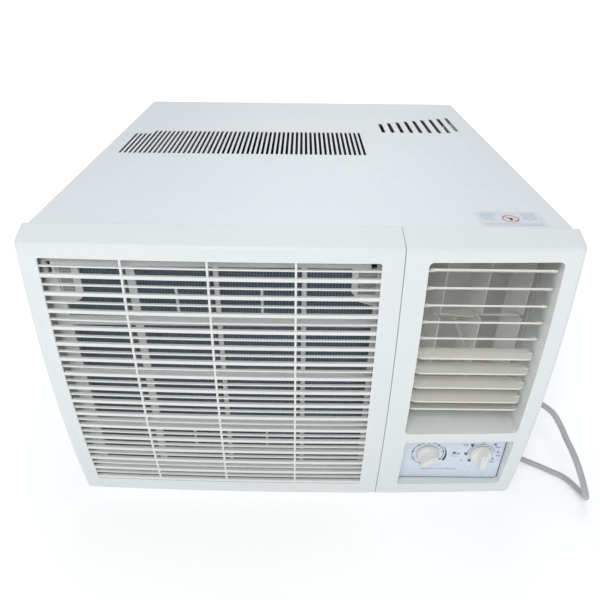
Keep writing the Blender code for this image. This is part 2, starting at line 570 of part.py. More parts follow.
end_plate = body_from("evaporator_end_plate", boxes(((96.4, 98.0), (38.6, 77.6), (12.0, 416.0))), GALVANISED)
fuse(end_plate, return_bends(bmesh.new(), 98.0, (57.0,), [(z, z + 24.0) for z in (180.0, 260.0, 340.0)], 4.5, 1))
condenser = body_from("condenser_coil", boxes(((-316.0, 296.0), (612.0, 652.0), (14.0, 420.0))), ALUMINIUM)
end_plate = body_from("condenser_end_plate", boxes(((296.4, 298.0), (610.0, 654.0), (12.0, 422.0))), GALVANISED)
fuse(end_plate, return_bends(bmesh.new(), 298.0, (632.0,), [(z, z + 26.0) for z in (60.0, 210.0, 290.0)], 4.5, 1))

# ---------------------------------------------------------------- partition, motor, condenser fan and shroud
wall = body_from("bulkhead", boxes(((-324.6, 324.6), (290.0, 291.6), (6.2, 430.0))), GALVANISED)
cut(wall, boxes(((104.0, 150.0), (280.0, 300.0), (0.0, 74.0))))
cut(wall, cylinder(bmesh.new(), (FAN_X, FAN_Z), 18.0, 280.0, 300.0, "y", 12))
body_from("fan_motor", turned(bmesh.new(), [(6.6, 306.0), (24.0, 306.0), (26.0, 318.0), (56.0, 324.0), (58.0, 330.0), (58.0, 388.0), (56.0, 394.0), (26.0, 400.0), (24.0, 410.0), (6.6, 410.0)], (FAN_X, FAN_Z), "y", 18), BLACK_STEEL, smooth=True)
saddle = [(FAN_X - 75, 6.2), (FAN_X + 75, 6.2), (FAN_X + 62, 200.0)] + circle(FAN_X, FAN_Z, 61.0, 8, -18, -144) + [(FAN_X - 62, 200.0)]
body_from("motor_bracket", prism(bmesh.new(), saddle, 340.0, 378.0, "y"), GALVANISED)

fan = body_from("condenser_fan", turned(bmesh.new(), [(6.4, 512.0), (26.0, 512.0), (32.0, 518.0), (32.0, 556.0), (6.4, 556.0)], (FAN_X, FAN_Z), "y", 16), BLACK_PLASTIC, at=(FAN_X, 535.0, FAN_Z), smooth=True)
fuse(fan, turned(bmesh.new(), [(150.0, 530.0), (155.0, 530.0), (155.0, 546.0), (150.0, 546.0)], (FAN_X, FAN_Z), "y", 20))
paddles = bmesh.new()
for k in range(4):
    sections = []
    for r, pitch, width in ((28.0, 42.0, 40.0), (90.0, 32.0, 84.0), (152.0, 22.0, 96.0)):
        ring = []
        for s, t in ((-0.5, -1.2), (0.5, -1.2), (0.5, 1.2), (-0.5, 1.2)):
            across, lift = width * s, t
            a = math.radians(pitch)
            ring.append(Vector((across * math.cos(a) - lift * math.sin(a), across * math.sin(a) * 0.42 + lift * math.cos(a), r)))
        sections.append(ring)
    turn = Matrix.Rotation(math.radians(90.0 * k + 10), 3, "Y")
    verts = [[paddles.verts.new(turn @ p + Vector((FAN_X, 537.0, FAN_Z))) for p in ring] for ring in sections]
    for low, high in zip(verts, verts[1:]):
        for i in range(4):
            j = (i + 1) % 4
            paddles.faces.new((low[i], low[j], high[j], high[i]))
    paddles.faces.new(verts[0][::-1])
    paddles.faces.new(verts[-1])
fuse(fan, paddles)

shroud = body_from("fan_shroud", boxes(((-322.0, 294.0), (586.0, 588.0), (7.0, 428.0))), GALVANISED)
fuse(shroud, turned(bmesh.new(), [(163.0, 566.0), (166.0, 566.0), (170.0, 587.0), (163.0, 587.0)], (FAN_X, FAN_Z), "y", 20))
cut(shroud, cylinder(bmesh.new(), (FAN_X, FAN_Z), 163.2, 560.0, 600.0, "y", 20))

# ---------------------------------------------------------------- refrigeration circuit
COMP = (205.0, 430.0)
body_from("compressor", turned(bmesh.new(), [(0.0, 34.0), (40.0, 36.0), (62.0, 48.0), (66.0, 62.0), (66.0, 214.0), (62.0, 236.0), (44.0, 252.0), (16.0, 258.0), (0.0, 259.0)], COMP, "z", 20), BLACK_STEEL, smooth=True)
feet = [(COMP[0] + 84 * math.cos(math.radians(a)), COMP[1] + 84 * math.sin(math.radians(a))) for a in (30, 150, 270)]
plate_shape = []
for (fx, fy), a in zip(feet, (30, 150, 270)):
    plate_shape += circle(fx, fy, 14.0, 3, a - 75, 150)
base = body_from("compressor_foot_plate", prism(bmesh.new(), plate_shape, 26.0, 29.0, "z"), BLACK_STEEL)
studs = bmesh.new()
for fx, fy in feet:
    cylinder(studs, (fx, fy), 6.5, 20.0, 36.0, "z", 10)
cut(base, studs)
fuse(base, turned(bmesh.new(), [(0.0, 27.5), (36.0, 27.5), (36.0, 33.4), (0.0, 33.4)], COMP, "z", 16))
pattern = body_from("grommet_pattern", turned(bmesh.new(), [(3.0, 6.2), (10.0, 6.2), (10.0, 25.7), (5.9, 25.7), (5.9, 29.6), (9.0, 29.6), (8.5, 34.0), (3.0, 34.0)], (0.0, 0.0), "z", 8), RUBBER, smooth=True)
grommet_mesh = finished_mesh(pattern)
for k, (fx, fy) in enumerate(feet):
    placed(f"compressor_grommet_{k + 1}", grommet_mesh, RUBBER, (fx, fy, 0.0))
ACC = (112.0, 392.0)
body_from("accumulator", turned(bmesh.new(), [(0.0, 70.0), (10.0, 71.0), (22.0, 82.0), (24.0, 90.0), (24.0, 190.0), (20.0, 202.0), (8.0, 210.0), (0.0, 211.0)], ACC, "z", 14), BLACK_STEEL, smooth=True)
tube("discharge_pipe", [(205, 430, 259.6), (205, 430, 300), (220, 440, 340), (250, 480, 360), (290, 540, 362), (309, 590, 372), (309, 600, 380), (309, 615, 388)], 8.0, COPPER, per_span=3)
tube("suction_pipe", [(112, 392, 211.6), (112, 392, 240), (116, 372, 262), (122, 340, 250), (126, 312, 180), (127, 300, 80), (127, 288, 50), (126, 240, 42), (122, 160, 40), (114, 100, 44), (108, 70, 60), (108, 58, 90), (108, 57.5, 120)], 11.0, COPPER, per_span=2)
body_from("filter_drier", turned(bmesh.new(), [(0.0, 40.0), (5.0, 42.0), (11.0, 52.0), (11.0, 108.0), (5.0, 118.0), (0.0, 120.0)], (300.0, 560.0), "z", 12), COPPER, smooth=True)
tube("liquid_line", [(300, 560, 120.6), (300, 562, 140), (304, 580, 150), (309, 600, 150), (309, 616, 150)], 6.0, COPPER, per_span=3)
tube("capillary_tube", [(300, 560, 39.4), (300, 556, 24), (303, 530, 14), (303, 400, 12), (292, 318, 12), (180, 304, 13), (138, 298, 20), (134, 280, 26), (134, 120, 22), (118, 80, 24), (106, 60, 33), (99.0, 57, 36)], 3.2, COPPER, per_span=2)

# ---------------------------------------------------------------- cabinet screws
pattern = body_from("screw_pattern", turned(bmesh.new(), [(0.0, 0.3), (4.2, 0.3), (4.0, 1.2), (2.6, 1.6), (0.0, 1.6)], (0.0, 0.0), "z", 10), STEEL, smooth=True)
screw_mesh = finished_mesh(pattern)
for k, (side, y) in enumerate(((-1, 600.0), (1, 600.0))):
    placed(f"cabinet_screw_{k + 1}", screw_mesh, STEEL, (side * CABINET_HALF, y, 24.0), (0.0, 90.0 * side, 0.0))

# ---------------------------------------------------------------- mains cord: relief, loop to the floor, run to the coil, coil, tie and plug
EXIT = (CABINET_HALF, 84.0, 112.0)
RELIEF = 34.0
body_from(
    "cord_strain_relief",
    turned(bmesh.new(), [(0.0, EXIT[0] - 8.0), (8.6, EXIT[0] - 8.0), (8.6, EXIT[0] + GAP), (11.5, EXIT[0] + GAP), (11.5, EXIT[0] + 4.0), (8.0, EXIT[0] + 6.5), (5.6, EXIT[0] + RELIEF), (0.0, EXIT[0] + RELIEF)], EXIT[1:], "x", 12),
    CORD_GREY, at=EXIT, smooth=True,
)
COIL = (398.0, 340.0)
COIL_MID = 50.0
FLOOR_Z = CORD_D / 2.0 + 0.05
LANE_X = COIL[0] - COIL_MID - CORD_D / 2.0
CORD_ROUTE = [
    (EXIT[0] + RELIEF + GAP, 84.0, 112.0), (EXIT[0] + RELIEF + 3.0, 84.0, 112.0), (EXIT[0] + RELIEF + 10.0, 84.0, 111.8), (384.8, 81.8, 109.7), (402.1, 71.9, 100.0),
    (410.7, 54.8, 88.8), (411.8, 33.2, 83.5), (410.0, 10.8, 85.0), (409.9, -11.1, 81.2), (413.7, -28.3, 67.5),
    (421.0, -35.4, 47.8), (430.2, -30.1, 28.3), (437.5, -15.0, 13.6), (437.1, 5.7, 5.6), (426.7, 25.3, FLOOR_Z),
    (408.7, 38.6, FLOOR_Z), (389.8, 50.8, FLOOR_Z), (370.7, 62.8, FLOOR_Z), (355.4, 79.0, FLOOR_Z), (348.3, 100.2, FLOOR_Z),
    (345.6, 122.5, FLOOR_Z), (344.4, 145.0, FLOOR_Z),
    (LANE_X, 190.0, FLOOR_Z),
    (LANE_X, 250.0, FLOOR_Z), (LANE_X, COIL[1] - 32.0, FLOOR_Z),
]
tube("power_cord", CORD_ROUTE, CORD_D, CORD_GREY, sides=2, per_span=2)
inner_r, outer_r = COIL_MID - CORD_D, COIL_MID + CORD_D
body_from("cord_coil", turned(bmesh.new(), [(inner_r, 0.05), (outer_r, 0.05), (outer_r, 2 * CORD_D), (inner_r, 2 * CORD_D)], COIL, "z", 24), CORD_GREY, at=(*COIL, 0.0), smooth=True)
tie_x = ((COIL[0] + inner_r - 2.8, COIL[0] + inner_r - 1.2), (COIL[0] + outer_r + 0.4, COIL[0] + outer_r + 2.0))
tie = body_from("cord_tie", boxes(((tie_x[0][0], tie_x[1][1]), (COIL[1] - 4.0, COIL[1] + 4.0), (18.4, 20.0))), BLACK_PLASTIC)
fuse(tie, boxes((tie_x[0], (COIL[1] - 4.0, COIL[1] + 4.0), (0.05, 19.0)), (tie_x[1], (COIL[1] - 4.0, COIL[1] + 4.0), (0.05, 19.0))))
slant = math.sqrt(0.5)
clear = math.sqrt(outer_r**2 - COIL_MID**2) + 1.0
reach = COIL_MID + CORD_D / 2.0
PLUG_AT = (COIL[0] - slant * reach + slant * clear, COIL[1] + slant * reach + slant * clear, 14.2)
plug = body_from("mains_plug", turned(bmesh.new(), [(0.0, 0.0), (5.4, 0.0), (8.0, 22.0), (8.0, 30.0), (0.0, 30.0)], (0.0, 0.0), "x", 10), BLACK_PLASTIC)
barrel = prism(bmesh.new(), rounded((-19.0, 19.0), (-13.8, 14.5), 6.0), 24.0, 60.0, "x")
for vert in barrel.verts:
    if vert.co.x < 30.0:
        vert.co.y *= 0.72
        vert.co.z *= 0.86
fuse(plug, barrel)
prongs = cylinder(bmesh.new(), (0.0, 8.5), 3.6, 55.0, 80.0, "x", 10)
for y in (-9.5, 9.5):
    cylinder(prongs, (y, -5.0), 2.6, 55.0, 76.0, "x", 10)
fuse(plug, prongs)
plug.location = Vector(PLUG_AT) * MM
plug.rotation_euler = (0.0, 0.0, math.radians(45.0))
for modifier in plug.modifiers:
    modifier.object.location = plug.location
    modifier.object.rotation_euler = plug.rotation_euler
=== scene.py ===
import math

import bmesh
import bpy
from mathutils import Matrix, Vector


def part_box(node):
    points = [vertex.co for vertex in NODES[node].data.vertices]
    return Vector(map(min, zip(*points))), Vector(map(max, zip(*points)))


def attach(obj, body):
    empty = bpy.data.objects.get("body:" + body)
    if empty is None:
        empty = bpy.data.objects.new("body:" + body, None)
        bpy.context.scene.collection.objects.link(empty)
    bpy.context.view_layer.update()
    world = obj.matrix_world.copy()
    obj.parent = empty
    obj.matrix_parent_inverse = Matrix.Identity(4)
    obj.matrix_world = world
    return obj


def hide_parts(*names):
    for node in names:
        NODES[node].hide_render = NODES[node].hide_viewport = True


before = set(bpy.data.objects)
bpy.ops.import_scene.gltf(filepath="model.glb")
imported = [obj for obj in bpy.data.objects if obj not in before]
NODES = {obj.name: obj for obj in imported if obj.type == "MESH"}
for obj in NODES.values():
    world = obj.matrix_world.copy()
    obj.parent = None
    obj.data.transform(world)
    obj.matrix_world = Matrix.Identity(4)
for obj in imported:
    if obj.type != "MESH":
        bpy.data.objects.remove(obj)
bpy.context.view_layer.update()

MM = 0.001
CENTRE_Y = 323.8
HALF_WIDTH, CREASE_Z, TOP_Z, SEAM_Y, REAR_Y = 330.0, 427.0, 436.0, 34.0, 669.0
BOW_V, BOW_H, CORNER_R, SPLIT_X, SPLIT_GAP, SHELL = 15.0, 7.0, 8.0, 120.0, 0.6, 2.2
INTAKE_X, INTAKE_Z = (-305.0, 94.0), (29.0, 409.0)
BAR_PITCH, BAR_TOP_Z, BARS, BAR_T = 23.62, 386.7, 16, 5.0
RIB_X = (-209.0, -108.0, -5.0)
DUCT_X, DUCT_Z, TUNNEL_REAR, DUCT_FRONT = (148.0, 306.0), (145.0, 410.5), 45.0, 49.5
POCKET_X, POCKET_Z = (151.0, 307.0), (27.0, 127.0)
BLADES, BLADE_PITCH, BLADE_TOP_Z, BLADE_LAST_Z, BLADE_Y, BLADE_X = 10, 24.8, 392.6, 174.8, 7.0, (151.0, 303.4)
BLADE_TILT = (-33.0, -33.0, -33.0, -33.0, -33.0, -2.0, -1.0, 0.0, 1.0, -23.0)
VANE_X, VANE_Y, VANE_CHORD, VANE_REST = (179.5, 234.0, 288.5), 58.4, 39.0, 19.5
LINK_Z = 304.0
CABINET_HALF, CABINET_T = 328.4, 1.4
MAIN_SLOTS, MAIN_PITCH, MAIN_X0 = 51, 7.93, -294.0
SIDE_SLOTS, SIDE_PITCH, SIDE_X0 = 9, 17.05, 149.5
CORD_D = 9.0


# ---------------------------------------------------------------- helpers
def blade_z(k):
    return BLADE_TOP_Z - BLADE_PITCH * k if k < BLADES - 1 else BLADE_LAST_Z


def P(x, y, z):
    """A point in millimetres from the panel's corner line, as metres in the row frame."""
    return Vector((x * MM, (y - CENTRE_Y) * MM, z * MM))


def corner(name, k):
    """A corner of a CAD node's box, in the same millimetres."""
    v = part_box(name)[k]
    return Vector((v.x / MM, v.y / MM + CENTRE_Y, v.z / MM))


def middle(name):
    return (corner(name, 0) + corner(name, 1)) / 2.0


def raw(name, bm):
    bmesh.ops.recalc_face_normals(bm, faces=bm.faces)
    for v in bm.verts:
        v.co = P(*v.co)
    mesh = bpy.data.meshes.new(name)
    bm.to_mesh(mesh)
    bm.free()
    obj = bpy.data.objects.new(name, mesh)
    bpy.context.scene.collection.objects.link(obj)
    return obj


def bake(obj):
    """Applies every modifier."""
    bpy.context.view_layer.update()
    mesh = bpy.data.meshes.new_from_object(obj.evaluated_get(bpy.context.evaluated_depsgraph_get()))
    old = obj.data
    obj.modifiers.clear()
    obj.data = mesh
    mesh.name = obj.name
    bpy.data.meshes.remove(old)
    return obj


def combine(obj, operation, bm):
    helper = raw("helper", bm)
    mod = obj.modifiers.new("b", "BOOLEAN")
    mod.operation, mod.solver, mod.object = operation, "MANIFOLD", helper
    bake(obj)
    mesh = helper.data
    bpy.data.objects.remove(helper, do_unlink=True)
    bpy.data.meshes.remove(mesh)
    return obj


def cut(obj, bm):
    return combine(obj, "DIFFERENCE", bm)


def fuse(obj, bm):
    return combine(obj, "UNION", bm)


def soften(obj, width, segments=2, angle=35.0, clamp=True):
    mod = obj.modifiers.new("bevel", "BEVEL")
    mod.width, mod.segments, mod.limit_method = width * MM, segments, "ANGLE"
    mod.angle_limit, mod.use_clamp_overlap, mod.harden_normals = math.radians(angle), clamp, False
    return bake(obj)


def piece(obj, material, body, replaces=(), angle=32.0):
    obj.data.materials.clear()
    for m in material if isinstance(material, (list, tuple)) else [material]:
        obj.data.materials.append(m)
    if obj.type == "MESH":
        obj.data.shade_smooth()
        obj.data.set_sharp_from_angle(angle=math.radians(angle))
        mod = obj.modifiers.new("flat_faces", "WEIGHTED_NORMAL")
        mod.keep_sharp, mod.weight = True, 90
        bake(obj)
    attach(obj, body)
    if replaces:
        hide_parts(*replaces)
    return obj


def box(bm, x, y, z):
    corners = [bm.verts.new((a, b, c)) for c in z for b in y for a in x]
    for quad in ((0, 2, 3, 1), (4, 5, 7, 6), (0, 1, 5, 4), (2, 6, 7, 3), (0, 4, 6, 2), (1, 3, 7, 5)):
        bm.faces.new([corners[i] for i in quad])
    return bm


def boxes(*sizes):
    bm = bmesh.new()
    for x, y, z in sizes:
        box(bm, x, y, z)
    return bm


AXES = {"x": lambda a, b, h: (h, a, b), "y": lambda a, b, h: (a, h, b), "z": lambda a, b, h: (a, b, h)}


def prism(bm, outline, low, high, axis):
    put = AXES[axis]
    under = [bm.verts.new(put(a, b, low)) for a, b in outline]
    over = [bm.verts.new(put(a, b, high)) for a, b in outline]
    bm.faces.new(under[::-1])
    bm.faces.new(over)
    for i in range(len(outline)):
        j = (i + 1) % len(outline)
        bm.faces.new((under[i], under[j], over[j], over[i]))
    return bm


def circle(cx, cy, r, n, start=0.0, sweep=360.0):
    steps = n if abs(sweep) >= 360.0 else n + 1
    return [(cx + r * math.cos(math.radians(start + sweep * i / n)), cy + r * math.sin(math.radians(start + sweep * i / n))) for i in range(steps)]


def rounded(x, y, r, n=8):
    out = []
    for cx, cy, a in ((x[1] - r, y[1] - r, 0), (x[0] + r, y[1] - r, 90), (x[0] + r, y[0] + r, 180), (x[1] - r, y[0] + r, 270)):
        out += circle(cx, cy, r, n, a, 90.0)
    return out


def cylinder(bm, centre, r, low, high, axis, n=24):
    return prism(bm, circle(*centre, r, n), low, high, axis)


def turned(bm, profile, centre, axis, n=48):
    put = AXES[axis]
    rings = []
    for r, h in profile:
        rings.append([bm.verts.new(put(*centre, h))] if r <= 0.0 else [bm.verts.new(put(a, b, h)) for a, b in circle(*centre, r, n)])
    closed = profile[0][0] > 0.0
    for low, high in list(zip(rings, rings[1:] + rings[:1])) if closed else list(zip(rings, rings[1:])):
        for i in range(n):
            j = (i + 1) % n
            bm.faces.new(list(dict.fromkeys([low[i % len(low)], low[j % len(low)], high[j % len(high)], high[i % len(high)]])))
    return bm


def face_y(x, z):
    half = CREASE_Z / 2.0
    y = -BOW_V * max(0.0, 1.0 - ((z - half) / half) ** 2) - BOW_H * (1.0 - (x / HALF_WIDTH) ** 2)
    over = (abs(x) - (HALF_WIDTH - CORNER_R)) / CORNER_R
    if over > 0.0:
        y += CORNER_R * (1.0 - math.sqrt(max(0.0, 1.0 - min(over, 1.0) ** 2)))
    return y


def spread(low, high, n):
    return [low + (high - low) * i / n for i in range(n + 1)]


def face_block(bm, xs, zs, front, back=None, depth=None, back_top=None, lip=0.0, crease=0.0):
    fronts, backs = [], []
    for x in xs:
        row, behind = [], []
        for j, z in enumerate(zs):
            y = face_y(x, z) + front
            if lip and z < 5.5:
                y += lip * (1.0 - math.sqrt(max(0.0, 1.0 - (1.0 - (z - 0.5) / 5.0) ** 2)))
            row.append(bm.verts.new((x, y, z)))
            top = back_top is not None and j == len(zs) - 1
            behind.append(bm.verts.new((x, back if back is not None else y + depth, back_top if top else z)))
        fronts.append(row)
        backs.append(behind)
    n, m = len(xs), len(zs)
    for i in range(n - 1):
        for j in range(m - 1):
            bm.faces.new((fronts[i][j], fronts[i + 1][j], fronts[i + 1][j + 1], fronts[i][j + 1]))
            bm.faces.new((backs[i][j + 1], backs[i + 1][j + 1], backs[i + 1][j], backs[i][j]))
        for j in (0, m - 1):
            bm.faces.new((fronts[i][j], fronts[i + 1][j], backs[i + 1][j], backs[i][j]))
    for i in (0, n - 1):
        for j in range(m - 1):
            bm.faces.new((fronts[i][j], fronts[i][j + 1], backs[i][j + 1], backs[i][j]))
    bmesh.ops.recalc_face_normals(bm, faces=bm.faces)
    if crease:
        edges = [bm.edges.get((fronts[i][m - 1], fronts[i + 1][m - 1])) for i in range(n - 1)]
        bmesh.ops.bevel(bm, geom=edges, offset=crease, segments=5, profile=0.5, affect="EDGES")
    return bm


def smooth_path(points, per_span=6):
    p = [Vector(q) for q in points]
    p = [2 * p[0] - p[1]] + p + [2 * p[-1] - p[-2]]
    out = []
    for i in range(1, len(p) - 2):
        for s in range(per_span):
            t = s / per_span
            out.append(0.5 * (2 * p[i] + (p[i + 1] - p[i - 1]) * t + (2 * p[i - 1] - 5 * p[i] + 4 * p[i + 1] - p[i + 2]) * t**2 + (3 * p[i] - p[i - 1] - 3 * p[i + 1] + p[i + 2]) * t**3))
    return out + [p[-2]]


# ---------------------------------------------------------------- camera
def pinhole():
    pitch, roll = math.radians(32.6), math.radians(0.64)
    forward = Vector((0.0, math.cos(pitch), -math.sin(pitch)))
    right = Vector((1.0, 0.0, 0.0))
    up = right.cross(forward)
    r2 = right * math.cos(roll) + up * math.sin(roll)
    u2 = up * math.cos(roll) - right * math.sin(roll)
    data = bpy.data.cameras.new("camera")
    data.sensor_width, data.sensor_height, data.sensor_fit = 36.0, 36.0, "HORIZONTAL"
    data.lens = 535.0 / 600.0 * 36.0
    data.clip_start, data.clip_end = 0.01, 100.0
    data.dof.use_dof = False
    cam = bpy.data.objects.new("camera", data)
    place = Matrix((r2, u2, -forward)).transposed().to_4x4()
    place.translation = P(0.0, -547.0, 703.0)
    cam.matrix_world = place
    bpy.context.scene.collection.objects.link(cam)
    bpy.context.scene.camera = cam
    return cam


pinhole()


# ---------------------------------------------------------------- materials
class Graph:
    """A node tree that is built by name."""

    def __init__(self, name):
        self.mat = bpy.data.materials.new(name)
        self.mat.use_nodes = True
        self.tree = self.mat.node_tree
        self.tree.nodes.clear()
        self.out = self.node("ShaderNodeOutputMaterial")
        self.bsdf = self.node("ShaderNodeBsdfPrincipled")
        self.link(self.bsdf, "BSDF", self.out, "Surface")
        self.coords = self.node("ShaderNodeTexCoord")

    def node(self, kind, **settings):
        made = self.tree.nodes.new(kind)
        for key, value in settings.items():
            setattr(made, key, value)
        return made

    def link(self, a, out, b, into):
        self.tree.links.new(a.outputs[out], b.inputs[into])

    def noise(self, scale, detail=2.0, rough=0.5, stretch=None):
        n = self.node("ShaderNodeTexNoise")
        n.inputs["Scale"].default_value = scale
        n.inputs["Detail"].default_value = detail
        n.inputs["Roughness"].default_value = rough
        if stretch:
            mapping = self.node("ShaderNodeMapping")
            mapping.inputs["Scale"].default_value = stretch
            self.link(self.coords, "Object", mapping, "Vector")
            self.link(mapping, "Vector", n, "Vector")
        else:
            self.link(self.coords, "Object", n, "Vector")
        return n

    def remap(self, source, out, low, high, to_low, to_high):
        m = self.node("ShaderNodeMapRange", clamp=True)
        for key, value in (("From Min", low), ("From Max", high), ("To Min", to_low), ("To Max", to_high)):
            m.inputs[key].default_value = value
        self.link(source, out, m, "Value")
        return m

    def mix(self, factor, a, b, blend="MIX"):
        """factor is (node, output) or a number; a and b are a colour or (node, output)."""
        m = self.node("ShaderNodeMix", data_type="RGBA", blend_type=blend)
        for key, value in ((0, factor), (6, a), (7, b)):
            if isinstance(value, tuple) and isinstance(value[0], bpy.types.Node):
                self.tree.links.new(value[0].outputs[value[1]], m.inputs[key])
            elif key == 0:
                m.inputs[0].default_value = value
            else:
                m.inputs[key].default_value = (*value, 1.0)
        return m


def surface(name, colour, rough=0.45, metal=0.0, vary=0.025, cloud=9.0, grain=1400.0, bump=0.12, depth=0.05, rough_vary=0.06, wear=0.25, wear_colour=None, stretch=None, spec=0.5, coat=0.0, streak=None, tint=None, painted_glow=0.0):
    """A finish with slow colour drift, fine grain in bump and roughness, faint scuffs and paler worn edges."""
    g = Graph(name)
    b = g.bsdf
    light = tuple(min(1.0, c * (1 + vary)) for c in colour)
    dark = tuple(c * (1 - vary) * (t if tint else 1.0) for c, t in zip(colour, tint or (1, 1, 1)))
    clouds = g.noise(cloud, 3.0)
    spot = g.remap(clouds, "Fac", 0.3, 0.7, 0.0, 1.0)
    colour_node = g.mix((spot, "Result"), dark, light)
    specks = g.noise(grain * 0.35, 2.0, 0.6, stretch)
    speck = g.remap(specks, "Fac", 0.35, 0.65, 0.0, 1.0)
    shade = g.mix((speck, "Result"), tuple(c * 0.97 for c in (1, 1, 1)), (1.0, 1.0, 1.0))
    product = g.mix(1.0, (colour_node, 2), (shade, 2), "MULTIPLY")
    last = product
    if wear:
        geometry = g.node("ShaderNodeNewGeometry")
        edge = g.remap(geometry, "Pointiness", 0.52, 0.60, 0.0, wear)
        scuff = g.noise(60.0, 4.0, 0.7)
        patch = g.remap(scuff, "Fac", 0.45, 0.6, 0.0, 1.0)
        both = g.node("ShaderNodeMath", operation="MULTIPLY")
        g.link(edge, "Result", both, 0)
        g.link(patch, "Result", both, 1)
        last = g.mix((both, "Value"), (product, 2), wear_colour or tuple(min(1.0, c * 1.12 + 0.03) for c in colour))
    if streak:
        lines = g.noise(streak[0], 3.0, 0.6, streak[1])
        line = g.remap(lines, "Fac", 0.35, 0.65, 0.0, 1.0)
        last = g.mix((line, "Result"), (last, 2), tuple(c * streak[2] for c in colour))
        last.inputs[0].default_value = 0.5
    g.tree.links.new(last.outputs[2], b.inputs["Base Color"])
    patches = g.noise(45.0, 4.0, 0.6, stretch)
    r = g.remap(patches, "Fac", 0.3, 0.7, max(0.02, rough - rough_vary), min(1.0, rough + rough_vary))
    g.link(r, "Result", b, "Roughness")
    fine = g.noise(grain, 2.0, 0.55, stretch)
    bumps = g.node("ShaderNodeBump")
    bumps.inputs["Strength"].default_value = bump
    bumps.inputs["Distance"].default_value = depth * MM
    g.link(fine, "Fac", bumps, "Height")
    g.link(bumps, "Normal", b, "Normal")
    b.inputs["Metallic"].default_value = metal
    b.inputs["Specular IOR Level"].default_value = spec
    b.inputs["Coat Weight"].default_value = coat
    b.inputs["Coat Roughness"].default_value = 0.15
    # A nonzero painted_glow makes the surface emit its own colour: painted light, not a lamp.
    b.inputs["Emission Color"].default_value = (*colour, 1.0)
    b.inputs["Emission Strength"].default_value = painted_glow
    return g.mat


PANEL = surface("panel_plastic", (0.790, 0.825, 0.822), 0.40, grain=1500, bump=0.10, vary=0.012, cloud=5.0)
DOOR = surface("door_plastic", (0.780, 0.820, 0.815), 0.40, grain=1500, bump=0.10, vary=0.012, cloud=5.0)
BAR = surface("bar_plastic", (0.800, 0.820, 0.795), 0.38, grain=1500, bump=0.10, vary=0.015, cloud=14.0)
SHEET = surface("cabinet_paint", (0.800, 0.840, 0.860), 0.42, grain=700, bump=0.16, depth=0.06, vary=0.012, cloud=4.0, wear=0.15)
IVORY = surface("ivory_plastic", (0.800, 0.790, 0.735), 0.36, grain=1800, bump=0.07, vary=0.02, cloud=20.0)
VANE = surface("vane_plastic", (0.840, 0.840, 0.835), 0.40, grain=1800, bump=0.07, vary=0.02, cloud=20.0)
GREY_PLASTIC = surface("grey_plastic", (0.48, 0.48, 0.46), 0.45, grain=1500, vary=0.03, cloud=20.0)
FRAME_GREY = surface("filter_frame_plastic", (0.62, 0.645, 0.635), 0.45, grain=1500, vary=0.02, cloud=18.0)
KNOB = surface("knob_plastic", (0.80, 0.805, 0.775), 0.28, grain=1800, bump=0.05, vary=0.015, cloud=30.0, coat=0.25)
GALVANISED = surface("galvanised_steel", (0.56, 0.58, 0.59), 0.36, 0.85, vary=0.10, cloud=60.0, grain=300, bump=0.10, rough_vary=0.12, wear=0.1, wear_colour=(0.75, 0.75, 0.75))
ALUMINIUM = surface("fin_aluminium", (0.62, 0.64, 0.66), 0.34, 0.9, vary=0.06, cloud=30.0, grain=500, rough_vary=0.1, wear=0.1, stretch=(1.0, 1.0, 0.15))
COPPER = surface("copper", (0.70, 0.33, 0.19), 0.28, 1.0, vary=0.10, cloud=40.0, grain=700, rough_vary=0.12, tint=(0.8, 0.7, 0.6), wear=0.2, wear_colour=(0.85, 0.50, 0.34))
BLACK_STEEL = surface("black_steel", (0.028, 0.029, 0.032), 0.38, vary=0.15, cloud=25.0, grain=500, bump=0.2, wear=0.25, wear_colour=(0.20, 0.19, 0.18))
STEEL = surface("steel", (0.55, 0.55, 0.54), 0.28, 1.0, vary=0.06, cloud=40.0, grain=900, stretch=(1.0, 0.1, 1.0), wear=0.2, wear_colour=(0.8, 0.8, 0.8))
# The duct plastic glows faintly: painted light that brightens the discharge duct and the blower scroll, which are no
# lamps.
DUCT = surface("duct_plastic", (0.810, 0.800, 0.775), 0.62, grain=900, bump=0.2, vary=0.03, cloud=12.0, wear=0.0, painted_glow=0.045)
BLACK_PLASTIC = surface("black_plastic", (0.035, 0.035, 0.038), 0.42, vary=0.12, cloud=25.0, grain=1200, wear=0.2, wear_colour=(0.16, 0.16, 0.16))
RUBBER = surface("rubber", (0.025, 0.025, 0.025), 0.75, vary=0.15, cloud=60.0, grain=900, bump=0.25, wear=0.1)
CORD = surface("cord_pvc", (0.44, 0.45, 0.47), 0.36, vary=0.03, cloud=25.0, grain=900, bump=0.08, wear=0.0, rough_vary=0.08)
NAVY_INK = surface("navy_ink", (0.028, 0.030, 0.12), 0.35, vary=0.1, cloud=200.0, grain=2500, wear=0.0)
VIOLET_INK = surface("violet_ink", (0.30, 0.20, 0.62), 0.35, vary=0.1, cloud=200.0, grain=2500, wear=0.0)
RED_INK = surface("red_ink", (0.70, 0.10, 0.11), 0.35, vary=0.08, cloud=200.0, grain=2500, wear=0.0)
BLUE_INK = surface("blue_ink", (0.42, 0.56, 0.72), 0.4, vary=0.08, cloud=200.0, grain=2500, wear=0.0)
LABEL = surface("label_film", (0.74, 0.80, 0.84), 0.30, vary=0.02, cloud=30.0, grain=900, bump=0.05, wear=0.0, coat=0.3)


